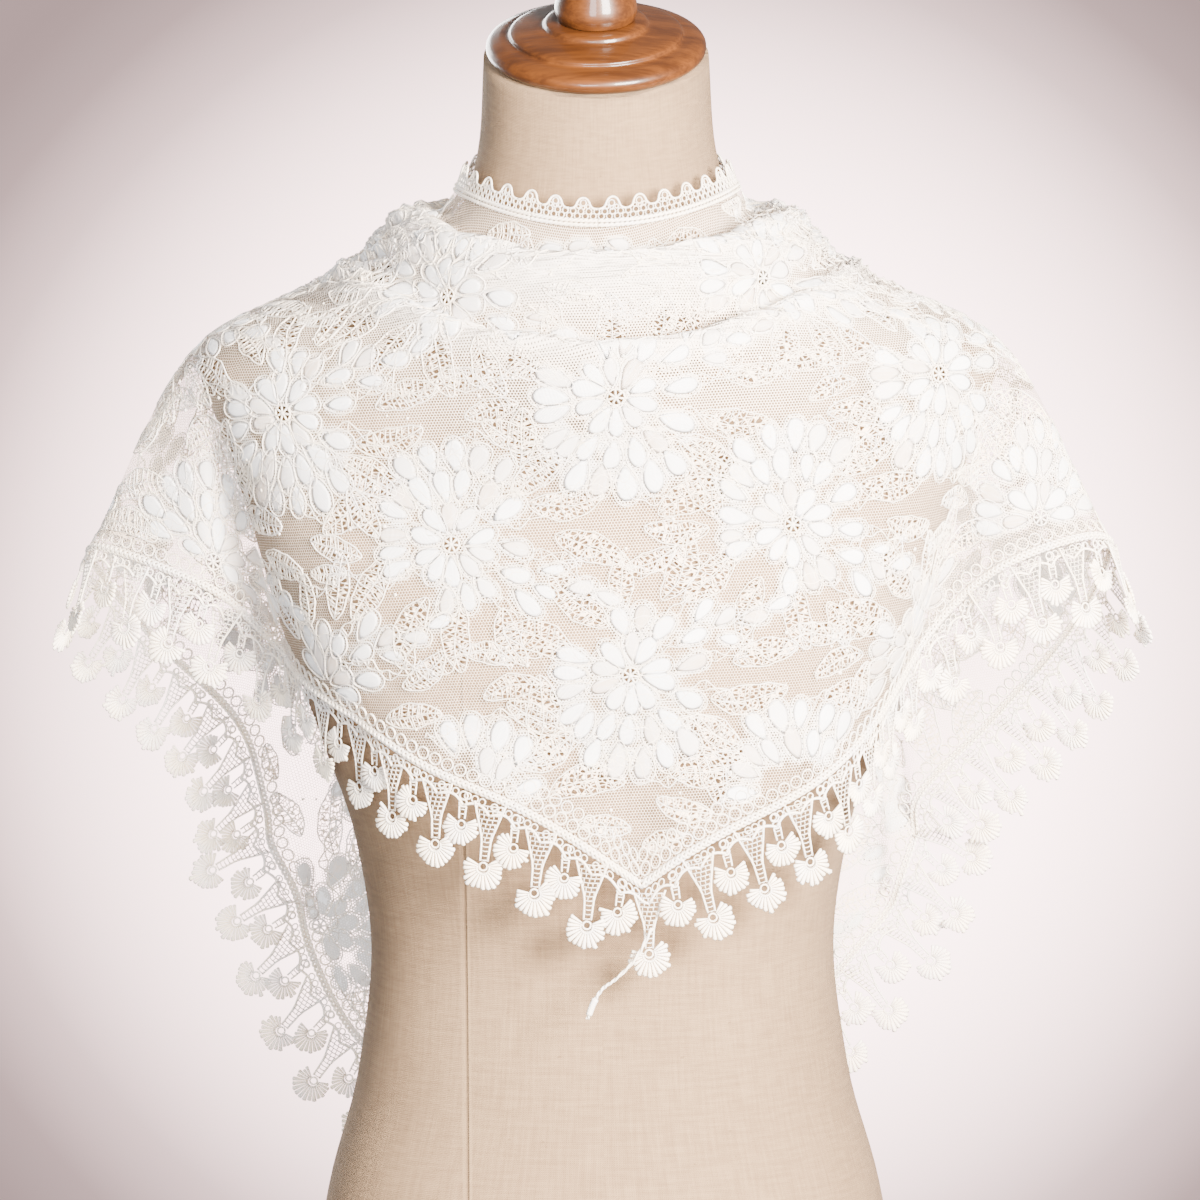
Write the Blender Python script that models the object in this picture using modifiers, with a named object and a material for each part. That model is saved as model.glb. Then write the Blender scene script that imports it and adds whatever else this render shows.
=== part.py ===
# Lace mantilla veil worn point to the front on a limbless linen dress form with a turned wooden neck cap.
# Metres, +Z up. The origin is the centre of the form's flat underside and the front of the form faces -Y.
import math

import bmesh
import bpy
import numpy as np
from mathutils import Vector

COLLECTION = "lace_mantilla_veil_on_dress_form"

# Driving sizes
WALL = 0.0015                # lace wall
SEAM_GAP = 0.0003            # left between pieces that are sewn or rest together
REST_GAP = 0.0028            # middle of the lace wall above the form's smooth surface
LONG_EDGE = 0.0155           # from the centre back to each hanging long edge
BACK_START = math.radians(120)   # from here the lines draw in to the centre back
BACK_END = math.radians(167)
EDGING_WIDTH = 0.0135
STRETCH_LINES = ("armhole_front", "wing_ridge")   # where the front, the wings and the back of the veil meet
FOLD_START = 5               # the back folds grow from this ring to the hem
SCALLOP_PITCH = 0.013
SCALLOP_DEPTH = 0.0045
EDGING_LEAN = 0.38           # inward, for each unit up the neck
EDGING_START = 0.004         # the back edging starts below the nape
BAND_INNER = 0.0085          # ring row of the border, from its inner edge to the middle of its double cord
BAND_CORD = 0.0028           # half of the double cord
BAND_OUTER = 0.0100          # from the middle of the cord to the arches between the drops
ARCH = 0.0022                # thickness of an arch
LONGEST_TRIM = 0.030         # most that a column of the veil gives up to the border, where it meets it at a slant
DROP_PITCH = 0.014
DROP_ROOT = 0.4              # share of the pitch that a drop's root takes
LOWEST_DROP = 0.004          # the drops end above the underside
NECK_TILT = math.radians(20)
NECK_TOP = 0.691
FORM_SIDES = 32
CAP_SIDES = 32
FINIAL_SIDES = 18
COLLAR_START = 0.615         # the neck leans forward above this height
HALF_LEVELS = ("base", "high_hip", "low_waist", "waist", "midriff", "armhole")   # one more ring above each of these
CURVE_STEPS = 12             # samples of a smooth curve between two rows of its table
DEGREE_WEIGHT = 0.001        # metres that a degree counts for in the spacing of such a curve
SLOPE_STEP = 0.0005          # for the slope of the form's surface
CLEARING_STEPS = 6
CLEARING_ERROR = 0.00001
MERGE = 0.00005

# Horizontal sections of the form, bottom to top
FORM_SECTIONS = (
    # name, height, half_width, front, back, squareness
    ("base", 0.000, 0.157, 0.098, 0.102, 2.3),
    ("hip", 0.060, 0.150, 0.096, 0.101, 2.3),
    ("high_hip", 0.120, 0.140, 0.092, 0.097, 2.3),
    ("low_waist", 0.184, 0.1235, 0.084, 0.088, 2.2),
    ("waist", 0.246, 0.1165, 0.081, 0.082, 2.2),
    ("midriff", 0.298, 0.1230, 0.090, 0.085, 2.2),
    ("under_bust", 0.350, 0.1390, 0.105, 0.089, 2.3),
    ("bust", 0.410, 0.1590, 0.117, 0.093, 2.4),
    ("chest", 0.465, 0.1740, 0.108, 0.097, 2.5),
    ("armhole", 0.510, 0.1890, 0.093, 0.096, 2.4),
    ("shoulder_tip", 0.541, 0.1975, 0.080, 0.090, 2.2),
    ("shoulder", 0.5545, 0.1860, 0.073, 0.083, 2.1),
    ("mid_shoulder", 0.5695, 0.1560, 0.067, 0.077, 2.0),
    ("trapezius", 0.584, 0.1220, 0.063, 0.072, 2.0),
    ("neck_base", 0.600, 0.0880, 0.060, 0.066, 2.0),
    ("low_neck", 0.618, 0.0670, 0.057, 0.060, 2.0),
    ("mid_neck", 0.645, 0.0588, 0.055, 0.055, 2.0),
    ("neck_top", NECK_TOP, 0.0555, 0.0525, 0.0525, 2.0),
)

# Rings of the cowl round the neck, from the sewn edge to the shoulders
COWL_RINGS = (
    # name, half_width, front, back, front_z, side_z, back_z, rows
    ("seam", 0.0705, 0.0715, 0.0640, 0.6110, 0.6245, 0.6400, 1),
    ("first_valley", 0.0785, 0.0780, 0.0720, 0.5810, 0.6135, 0.6280, 2),
    ("first_roll", 0.0920, 0.0960, 0.0780, 0.6010, 0.6165, 0.6190, 2),
    ("first_face", 0.1065, 0.1040, 0.0830, 0.5860, 0.6060, 0.6080, 1),
    ("second_valley", 0.1160, 0.1050, 0.0870, 0.5530, 0.5940, 0.5920, 2),
    ("second_roll", 0.1270, 0.1165, 0.0920, 0.5620, 0.5880, 0.5780, 2),
    ("second_face", 0.1420, 0.1210, 0.0950, 0.5440, 0.5785, 0.5620, 2),
    ("yoke", 0.1985, 0.1080, 0.0990, 0.4800, 0.5495, 0.5250, 6),
)

# Lines from the neck to the trimmed edge on the wearer's right, which is the left of the front view
LEFT_LINES = (
    # name, neck_deg, hem_x, hem_y, hem_z, stand_out
    ("point", 0, 0.0190, -0.1125, 0.2970, 0.15),
    ("bust_front", 18, -0.0312, -0.1165, 0.3310, 0.15),
    ("bust_side", 36, -0.0875, -0.1050, 0.3560, 0.20),
    ("armhole_front", 52, -0.1273, -0.0700, 0.3790, 0.25),
    ("tuck", 66, -0.1640, -0.0180, 0.4040, 0.35),
    ("wing_front", 77, -0.2010, -0.0270, 0.4350, 0.60),
    ("wing_ridge", 90, -0.2560, 0.0080, 0.4455, 0.70),
    ("wing_back", 104, -0.2300, 0.0450, 0.3990, 0.70),
    ("blade", 120, -0.1870, 0.0820, 0.3450, 0.75),
    ("back_side", 138, -0.1740, 0.0980, 0.2960, 0.80),
    ("back", 150, -0.1590, 0.1040, 0.2490, 0.75),
    ("low_back", 159, -0.1330, 0.1110, 0.1770, 0.65),
    ("centre_back", 167, -0.0155, 0.1130, 0.0900, 0.40),
)
RIGHT_LINES = (
    # name, neck_deg, hem_x, hem_y, hem_z, stand_out
    ("point", 0, 0.0190, -0.1125, 0.2970, 0.30),
    ("bust_front", 18, 0.0534, -0.1140, 0.3197, 0.50),
    ("bust_side", 36, 0.1050, -0.0980, 0.3450, 0.45),
    ("armhole_front", 52, 0.1349, -0.0650, 0.3690, 0.40),
    ("tuck", 66, 0.1620, -0.0200, 0.4030, 0.40),
    ("wing_front", 77, 0.2100, -0.0290, 0.4450, 0.60),
    ("wing_ridge", 90, 0.2554, 0.0020, 0.4465, 0.70),
    ("wing_back", 104, 0.2400, 0.0400, 0.4000, 0.70),
    ("blade", 120, 0.2010, 0.0790, 0.3440, 0.75),
    ("back_side", 138, 0.1634, 0.0970, 0.2990, 0.80),
    ("back", 150, 0.1550, 0.1020, 0.2560, 0.75),
    ("low_back", 159, 0.1266, 0.1080, 0.2100, 0.65),
    ("centre_back", 167, 0.0155, 0.1130, 0.0920, 0.40),
)

# Soft folds that hang down each side of the back
BACK_FOLDS = (
    # name, neck_deg, width_deg, depth
    ("blade_fold", 144, 4, 0.009),
    ("middle_fold", 154, 3, 0.008),
    ("inner_fold", 162, 2, 0.007),
)

# Outline of the drops, from the root down
LONG_DROP = (
    # name, along, half_width
    ("waist", 0.012, 0.0020),
    ("throat", 0.021, 0.0020),
    ("fan", 0.030, 0.0085),
    ("tip", 0.037, 0.0062),
)
SHORT_DROP = (
    # name, along, half_width
    ("throat", 0.005, 0.0020),
    ("fan", 0.013, 0.0080),
    ("tip", 0.019, 0.0058),
)

# Turned profiles, top to bottom: distance from the axis, height above the seat
CAP_PROFILE = (
    (0.0185, 0.0195), (0.0225, 0.0190), (0.0250, 0.0180), (0.0262, 0.0160), (0.0300, 0.0152), (0.0405, 0.0135),
    (0.0424, 0.0125), (0.0430, 0.0108), (0.0480, 0.0098), (0.0525, 0.0080), (0.0542, 0.0055), (0.0538, 0.0025),
    (0.0515, 0.0003),
)
FINIAL_PROFILE = (
    (0.0060, 0.0560), (0.0110, 0.0550), (0.0160, 0.0510), (0.0180, 0.0450), (0.0160, 0.0390), (0.0125, 0.0350),
    (0.0120, 0.0330), (0.0150, 0.0315), (0.0158, 0.0295), (0.0148, 0.0275), (0.0150, 0.0220), (0.0175, 0.0150),
    (0.0200, 0.0080), (0.0203, 0.0040), (0.0190, 0.0000),
)

# Material, base colour, roughness
LACE = ("lace", (0.90, 0.89, 0.90), 0.75)
LINEN = ("linen", (0.66, 0.58, 0.48), 0.9)
WOOD = ("varnished_wood", (0.48, 0.20, 0.06), 0.25)


def numbers(table):
    return np.array([row[1:] for row in table], float)


# A point on the centripetal Catmull-Rom curve through the rows; place counts rows from 0
def smooth_row(rows, place):
    last = len(rows) - 1
    i = min(int(place), last - 1)
    t = place - i
    a, b = rows[i], rows[i + 1]
    before = rows[i - 1] if i > 0 else 2 * a - b
    after = rows[i + 2] if i + 2 <= last else 2 * b - a
    d0, d1, d2 = (max(np.linalg.norm(q - p), 1e-6) ** 0.5 for p, q in ((before, a), (a, b), (b, after)))
    slope_a = d1 * ((a - before) / d0 - (b - before) / (d0 + d1) + (b - a) / d1)
    slope_b = d1 * ((b - a) / d1 - (after - a) / (d1 + d2) + (after - b) / d2)
    ease = t * t * (3 - 2 * t)
    return a + ease * (b - a) + t * (1 - t) ** 2 * slope_a - t * t * (1 - t) * slope_b


def smooth_rows(rows):
    return np.array([smooth_row(rows, i / CURVE_STEPS) for i in range(CURVE_STEPS * (len(rows) - 1) + 1)])


FORM = smooth_rows(numbers(FORM_SECTIONS))


# Half width, front, back and squareness of the form at a height
def form_section(z):
    return [np.interp(z, FORM[:, 0], FORM[:, k]) for k in (1, 2, 3, 4)]


# How far a point is outside the form, as a share of its section
def form_excess(x, y, z):
    half_width, front, back, power = form_section(z)
    depth = front if y < 0 else back
    return ((abs(x) / half_width) ** power + (abs(y) / depth) ** power) ** (1 / power) - 1


# Moves a point out along the form's slope until it has the gap
def clear_of_form(point, gap):
    p = np.array(point, float)
    shifts = SLOPE_STEP * np.eye(3)
    for _ in range(CLEARING_STEPS):
        rise = np.array([form_excess(*(p + d)) - form_excess(*(p - d)) for d in shifts]) / (2 * SLOPE_STEP)
        steepness = np.linalg.norm(rise)
        distance = form_excess(*p) / steepness
        if distance >= gap - CLEARING_ERROR:
            break
        p += rise / steepness * (gap - distance)
    return p


# A point on a ring of the cowl, which draws in past the back start so that its end hangs at the long edge
def ring_point(ring, side, angle):
    half_width, front, back, front_z, side_z, back_z = ring[:6]
    lean = math.cos(angle)
    y = -front * lean if lean > 0 else -back * lean
    end_z = front_z if lean > 0 else back_z
    x = half_width * math.sin(angle)
    inward = max(0, (angle - BACK_START) / (BACK_END - BACK_START)) ** 2
    x -= inward * (half_width * math.sin(BACK_END) - LONG_EDGE)
    return np.array((side * x, y, side_z + (end_z - side_z) * lean ** 2))


# Samples one half of the trimmed edge: length from the point, neck angle, hem place, stand out
def half_edge(table):
    rows = numbers(table)
    rows[:, 0] *= DEGREE_WEIGHT
    dense = smooth_rows(rows)
    dense[:, 0] /= DEGREE_WEIGHT
    steps = np.linalg.norm(np.diff(dense[:, 1:4], axis=0), axis=1)
    return np.column_stack((np.concatenate(([0], np.cumsum(steps))), dense))


# One column of the veil, from the neck seam to the middle of the border's cord
def veil_column(side, edge, length):
    angle, *hem, stand_out = [np.interp(length, edge[:, 0], edge[:, k]) for k in range(1, 6)]
    angle = math.radians(angle)
    rings = numbers(COWL_RINGS)
    knots = np.array([ring_point(ring, side, angle) for ring in rings] + [hem])
    places = [i + j / rows for i, rows in enumerate(rings[:, 6].astype(int)) for j in range(rows)]
    points = np.array([smooth_row(knots, place) for place in places + [len(rings)]])
    hang = np.clip((np.array(places + [len(rings)]) - FOLD_START) / (len(rings) - FOLD_START), 0, 1)
    for _, at, width, depth in BACK_FOLDS:
        rise = depth * math.exp(-((math.degrees(angle) - at) / width) ** 2)
        points += np.outer(hang, (side * math.sin(angle), -math.cos(angle), 0)) * rise
    return np.array([clear_of_form(p, REST_GAP) for p in points]), stand_out


def unit(vectors):
    return vectors / np.linalg.norm(vectors, axis=-1, keepdims=True)


# Directions along one way of a grid, halfway between those of the steps before and after each point
def directions(grid, axis):
    steps = unit(np.diff(grid, axis=axis))
    first, last = np.take(steps, [0], axis), np.take(steps, [-1], axis)
    return unit(np.concatenate((first, steps), axis) + np.concatenate((steps, last), axis))


# The whole veil as a grid: columns from the left tip by the point to the right tip, rows from the neck out
class Veil:
    def __init__(self):
        edges = {-1: half_edge(LEFT_LINES), 1: half_edge(RIGHT_LINES)}
        self.pitches = {side: round(edge[-1, 0] / DROP_PITCH / 2) * 2 for side, edge in edges.items()}
        names = [row[0] for row in LEFT_LINES]
        self.seams = {}
        columns, out, self.stations = [], [], []
        for side in (-1, 1):
            edge, count = edges[side], self.pitches[side]
            rows = [CURVE_STEPS * names.index(line) for line in STRETCH_LINES]
            self.seams[side] = [round(edge[row, 0] / edge[-1, 0] * count / 2) * 2 * side for row in rows]
            stations = list(range(0, count + 1, 2))
            for station in stations[::-1] if side < 0 else stations[1:]:
                column, stand_out = veil_column(side, edge, edge[-1, 0] * station / count)
                columns.append(column)
                out.append(stand_out)
                self.stations.append(side * station)
        self.grid = np.array(columns)
        self.stand_out = np.array(out)
        self.across = directions(self.grid, 0)
        self.normals = unit(np.cross(directions(self.grid, 1), self.across))
        self.trim()

    # Directions at the hem, and the wall's last row moved back to the inner edge of the border
    def trim(self):
        hem = self.grid[:, -1]
        middle = self.stations.index(0)
        down = unit(hem - self.grid[:, -2])
        along = directions(hem, 0)
        outward = unit(down - np.sum(down * along, axis=1, keepdims=True) * along)
        for way in (outward, self.normals[:, -1]):
            way[1:-1] = unit(way[:-2] + 2 * way[1:-1] + way[2:])
        for i, j in ((0, 1), (middle, middle + 1), (len(hem) - 1, len(hem) - 2)):
            edge_way = unit(hem[j] - hem[i])
            outward[i] = down[i] / math.sqrt(1 - float(down[i] @ edge_way) ** 2)
        crossing = np.sqrt(1 - np.sum(down * along, axis=1) ** 2)
        crossing[[0, middle, -1]] = [1 / np.linalg.norm(outward[i]) for i in (0, middle, -1)]
        back = np.minimum((BAND_INNER + SEAM_GAP) / crossing, LONGEST_TRIM)
        self.hem, self.outward = hem.copy(), outward
        self.grid[:, -1] = hem - down * back[:, None]

    # Values between two columns, so that the border follows the wall's own edge
    def at(self, values, station):
        return np.array([np.interp(station, self.stations, values[:, k]) for k in range(values.shape[1])])


def material(look):
    name, colour, roughness = look
    made = bpy.data.materials.get(name) or bpy.data.materials.new(name)
    made.use_nodes = True
    shader = made.node_tree.nodes["Principled BSDF"]
    shader.inputs["Base Color"].default_value = (*colour, 1)
    shader.inputs["Roughness"].default_value = roughness
    shader.inputs["Metallic"].default_value = 0
    return made


def finish_object(name, bm, look, collection, smooth=False):
    bmesh.ops.recalc_face_normals(bm, faces=bm.faces[:])
    mesh = bpy.data.meshes.new(name)
    bm.to_mesh(mesh)
    bm.free()
    if smooth:
        mesh.shade_smooth()
    mesh.materials.append(material(look))
    piece = bpy.data.objects.new(name, mesh)
    collection.objects.link(piece)
    return piece


# A flat grid of cells in a new bmesh, with the vertices listed by column and row
def new_grid(columns, rows):
    bm = bmesh.new()
    out = bm.verts.layers.float_vector.new("out")
    bmesh.ops.create_grid(bm, x_segments=columns - 1, y_segments=rows - 1, size=0.5)
    ordered = sorted(bm.verts, key=lambda v: (round(v.co.x, 5), round(v.co.y, 5)))
    return bm, out, [ordered[i * rows:(i + 1) * rows] for i in range(columns)]


# Gives an open surface its wall: each vertex goes half a wall to both sides along its own normal
def thicken(bm, out):
    start = bm.verts[:]
    made = bmesh.ops.extrude_face_region(bm, geom=bm.faces[:], use_keep_orig=True)["geom"]
    for v in start:
        v.co -= v[out] * WALL / 2
    for v in made:
        if isinstance(v, bmesh.types.BMVert):
            v.co += v[out] * WALL / 2
    bmesh.ops.triangulate(bm, faces=bm.faces[:], quad_method="SHORT_EDGE")


def veil_wall(name, veil, first, last, collection):
    columns = [i for i, station in enumerate(veil.stations) if first <= station <= last]
    rows = veil.grid.shape[1]
    bm, out, verts = new_grid(len(columns), rows)
    for i, column in enumerate(columns):
        for j in range(rows):
            verts[i][j].co = veil.grid[column, j]
            verts[i][j][out] = veil.normals[column, j]
    for end, station, way in ((0, first, 1), (-1, last, -1)):
        if station in veil.seams[-1] + veil.seams[1]:
            for v, across in zip(verts[end], veil.across[columns[end]]):
                v.co += Vector(across) * way * SEAM_GAP / 2
    thicken(bm, out)
    return finish_object(name, bm, LACE, collection, smooth=True)


# The border's band with a hole between drops, and the drops grown from its outer edge
def border(name, veil, first, last, collection):
    count = abs(last - first)
    stations = [first + k + part for k in range(count) for part in (0, DROP_ROOT)] + [last]
    stations[0] += SEAM_GAP / DROP_PITCH
    across = (BAND_CORD, BAND_OUTER - ARCH, BAND_OUTER)
    bm, out, verts = new_grid(len(stations), len(across) + 1)
    for column, station in zip(verts, stations):
        sources = (veil.grid[:, -1], veil.hem, veil.outward, veil.normals[:, -1])
        edge, hem, outward, normal = (veil.at(values, station) for values in sources)
        places = [edge + outward * SEAM_GAP, *(hem + outward * distance for distance in across)]
        for v, place in zip(column, places):
            v.co = clear_of_form(place, REST_GAP)
            v[out] = normal
    for k in range(count):
        corners = {verts[2 * k + i][j] for i in (1, 2) for j in (1, 2)}
        hole = [face for face in verts[2 * k + 1][1].link_faces if set(face.verts) == corners]
        bmesh.ops.delete(bm, geom=hole, context="FACES_ONLY")
    for k in range(count):
        sections = SHORT_DROP if (first + k) % 2 else LONG_DROP
        grow_drop(bm, out, veil, verts[2 * k][-1], verts[2 * k + 1][-1], first + k + DROP_ROOT / 2, sections)
    thicken(bm, out)
    return finish_object(name, bm, LACE, collection, smooth=True)


# Grows one drop from the band's outer edge, between two of its vertices
def grow_drop(bm, out, veil, left, right, station, sections):
    outward = veil.at(veil.outward, station)
    stand_out = float(np.interp(station, veil.stations, veil.stand_out))
    way = unit(outward * stand_out + np.array((0, 0, -1.0)) * (1 - stand_out))
    normal = np.array((left[out] + right[out]).normalized())
    width = unit(np.cross(normal, way))
    width *= 1 if width @ np.array(right.co - left.co) > 0 else -1
    root = np.array(left.co + right.co) / 2
    for _, distance, half_width in sections:
        edge = bm.edges.get((left, right))
        made = bmesh.ops.extrude_edge_only(bm, edges=[edge])["geom"]
        ends = [v for v in made if isinstance(v, bmesh.types.BMVert)]
        near_left = min(ends, key=lambda v: (v.co - left.co).length)
        near_right = next(v for v in ends if v is not near_left)
        for v, sign in ((near_left, -1), (near_right, 1)):
            place = clear_of_form(root + way * distance + width * half_width * sign, REST_GAP)
            v.co = (place[0], place[1], max(place[2], LOWEST_DROP))
            v[out] = normal
        left, right = near_left, near_right


# A strip of scallops along a sewn edge: its outline rises and falls once in each pitch
def scalloped_strip(name, path, ways, normals, start, collection):
    lengths = np.concatenate(([0], np.cumsum(np.linalg.norm(np.diff(path, axis=0), axis=1))))
    count = 2 * int((lengths[-1] - start) / SCALLOP_PITCH)
    places = np.linspace(start, lengths[-1], count + 1)
    bm, out, verts = new_grid(count + 1, 2)
    for i, place in enumerate(places):
        base, way, normal = (
            np.array([np.interp(place, lengths, values[:, k]) for k in range(3)]) for values in (path, ways, normals)
        )
        reach = EDGING_WIDTH - (0 if i % 2 else SCALLOP_DEPTH)
        for v, distance in zip(verts[i], (SEAM_GAP, reach)):
            v.co = base + unit(way) * distance
            v[out] = unit(normal)
    thicken(bm, out)
    return finish_object(name, bm, LACE, collection, smooth=True)


def neck_edging(veil, collection):
    path = veil.grid[:, 0]
    inward = path * (-1, -1, 0)
    ways = unit(inward) * EDGING_LEAN + np.array((0, 0, 1.0))
    normals = unit(path * (1, 1, 0)) + np.array((0, 0, EDGING_LEAN))
    scalloped_strip("neck_edging", path, ways, normals, 0, collection)


def back_edging(name, veil, column, side, collection):
    path = veil.grid[column]
    ways = np.tile((-side, 0.0, 0.0), (len(path), 1))
    normals = veil.normals[column] * (0, 1, 1)
    scalloped_strip(name, path, ways, normals, EDGING_START, collection)


def form_torso(collection):
    bm = bmesh.new()
    ring = bmesh.ops.create_circle(bm, segments=FORM_SIDES, radius=1)["verts"]
    turns = [2 * math.pi * k / FORM_SIDES for k in range(FORM_SIDES)]
    rows = numbers(FORM_SECTIONS)
    names = [row[0] for row in FORM_SECTIONS]
    places = sorted([*range(len(rows)), *(names.index(name) + 0.5 for name in HALF_LEVELS)])
    for level, place in enumerate(places):
        if level:
            edges = [bm.edges.get((ring[k], ring[(k + 1) % FORM_SIDES])) for k in range(FORM_SIDES)]
            bmesh.ops.extrude_edge_only(bm, edges=edges)
            bm.verts.ensure_lookup_table()
            ring = bm.verts[-FORM_SIDES:]
        height, half_width, front, back, power = smooth_row(rows, place)
        lean = max(0, (height - COLLAR_START) / (NECK_TOP - COLLAR_START)) * math.tan(NECK_TILT)
        for v, turn in zip(ring, turns):
            x, y = math.cos(turn), math.sin(turn)
            x = math.copysign(abs(x) ** (2 / power), x) * half_width
            y = math.copysign(abs(y) ** (2 / power), y) * (front if y < 0 else back)
            v.co = (x, y, height + y * lean)
    bmesh.ops.holes_fill(bm, edges=bm.edges[:])
    return finish_object("form_torso", bm, LINEN, collection, smooth=True)


# A turned wooden piece: its profile on a Screw modifier, seated on the leaning top of the neck
def turned(name, profile, seat, sides, collection):
    bm = bmesh.new()
    outline = [(0, profile[0][1]), *profile, (0, profile[-1][1])]
    points = [bm.verts.new((r, 0, z)) for r, z in outline]
    for upper, lower in zip(points, points[1:]):
        bm.edges.new((upper, lower))
    mesh = bpy.data.meshes.new(name)
    bm.to_mesh(mesh)
    bm.free()
    mesh.materials.append(material(WOOD))
    piece = bpy.data.objects.new(name, mesh)
    collection.objects.link(piece)
    piece.rotation_euler = (NECK_TILT, 0, 0)
    axis = np.array((0, -math.sin(NECK_TILT), math.cos(NECK_TILT)))
    piece.location = np.array((0, 0, NECK_TOP)) + axis * seat
    screw = piece.modifiers.new("turn", "SCREW")
    screw.axis = "Z"
    screw.angle = 2 * math.pi
    screw.steps = screw.render_steps = sides
    screw.use_merge_vertices = True
    screw.merge_threshold = MERGE
    return piece


def main():
    for old in list(bpy.data.objects):
        bpy.data.objects.remove(old, do_unlink=True)
    collection = bpy.data.collections.new(COLLECTION)
    bpy.context.scene.collection.children.link(collection)

    form_torso(collection)
    turned("neck_cap", CAP_PROFILE, SEAM_GAP, CAP_SIDES, collection)
    turned("neck_finial", FINIAL_PROFILE, CAP_PROFILE[0][1] + 2 * SEAM_GAP, FINIAL_SIDES, collection)

    veil = Veil()
    tips = {side: side * veil.pitches[side] for side in (-1, 1)}
    front = {side: veil.seams[side][0] for side in (-1, 1)}
    ridge = {side: veil.seams[side][1] for side in (-1, 1)}
    veil_wall("veil_front", veil, front[-1], front[1], collection)
    veil_wall("veil_left_wing", veil, ridge[-1], front[-1], collection)
    veil_wall("veil_right_wing", veil, front[1], ridge[1], collection)
    veil_wall("veil_left_back", veil, tips[-1], ridge[-1], collection)
    veil_wall("veil_right_back", veil, ridge[1], tips[1], collection)

    neck_edging(veil, collection)
    back_edging("back_edging_left", veil, 0, -1, collection)
    back_edging("back_edging_right", veil, -1, 1, collection)

    border("border_back_left", veil, tips[-1], front[-1], collection)
    border("border_front_left", veil, front[-1], 0, collection)
    border("border_front_right", veil, 0, front[1], collection)
    border("border_back_right", veil, front[1], tips[1], collection)


main()
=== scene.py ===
# Lace mantilla veil worn point to the front on a limbless linen dress form with a turned wooden neck cap.
# Metres, +Z up, the front faces -Y. The tables of the form and of the drape are those of the solids.
import math

import bmesh
import bpy
import numpy as np
from mathutils import Matrix, Vector


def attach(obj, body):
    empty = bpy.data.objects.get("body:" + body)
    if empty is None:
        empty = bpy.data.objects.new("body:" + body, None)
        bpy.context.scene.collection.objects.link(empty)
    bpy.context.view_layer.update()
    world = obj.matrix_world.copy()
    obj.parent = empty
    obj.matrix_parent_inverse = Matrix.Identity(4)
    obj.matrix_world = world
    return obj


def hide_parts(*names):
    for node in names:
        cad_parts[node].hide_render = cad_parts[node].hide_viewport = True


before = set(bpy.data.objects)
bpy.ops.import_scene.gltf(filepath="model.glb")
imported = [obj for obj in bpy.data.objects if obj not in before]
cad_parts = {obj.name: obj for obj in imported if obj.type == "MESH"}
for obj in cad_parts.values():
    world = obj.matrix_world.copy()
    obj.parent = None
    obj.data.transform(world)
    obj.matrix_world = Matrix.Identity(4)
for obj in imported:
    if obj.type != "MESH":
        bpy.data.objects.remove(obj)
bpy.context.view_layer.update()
draw = np.random.default_rng(11)

dressForm = {
    # name, height, halfWidth, front, back, squareness
    "sections": (
        ("base", 0.000, 0.157, 0.098, 0.102, 2.3),
        ("hip", 0.060, 0.150, 0.096, 0.101, 2.3),
        ("highHip", 0.120, 0.140, 0.092, 0.097, 2.3),
        ("lowWaist", 0.184, 0.1235, 0.084, 0.088, 2.2),
        ("waist", 0.246, 0.1165, 0.081, 0.082, 2.2),
        ("midriff", 0.298, 0.1230, 0.090, 0.085, 2.2),
        ("underBust", 0.350, 0.1390, 0.105, 0.089, 2.3),
        ("bust", 0.410, 0.1590, 0.117, 0.093, 2.4),
        ("chest", 0.465, 0.1740, 0.108, 0.097, 2.5),
        ("armhole", 0.510, 0.1890, 0.093, 0.096, 2.4),
        ("shoulderTip", 0.541, 0.1975, 0.080, 0.090, 2.2),
        ("shoulder", 0.5545, 0.1860, 0.073, 0.083, 2.1),
        ("midShoulder", 0.5695, 0.1560, 0.067, 0.077, 2.0),
        ("trapezius", 0.584, 0.1220, 0.063, 0.072, 2.0),
        ("neckBase", 0.600, 0.0880, 0.060, 0.066, 2.0),
        ("lowNeck", 0.618, 0.0670, 0.057, 0.060, 2.0),
        ("midNeck", 0.645, 0.0588, 0.055, 0.055, 2.0),
        ("neckTop", 0.691, 0.0555, 0.0525, 0.0525, 2.0),
    ),
    "neckTilt": math.radians(20),
    "collarStart": 0.615,
    "neckTop": 0.691,
    "sides": 144,
    "ringsPerSection": 7,
    "around": 0.88,               # length of the weave round the form
    "seam": -0.0672,              # the princess seam's distance from the middle of the front
}

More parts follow.
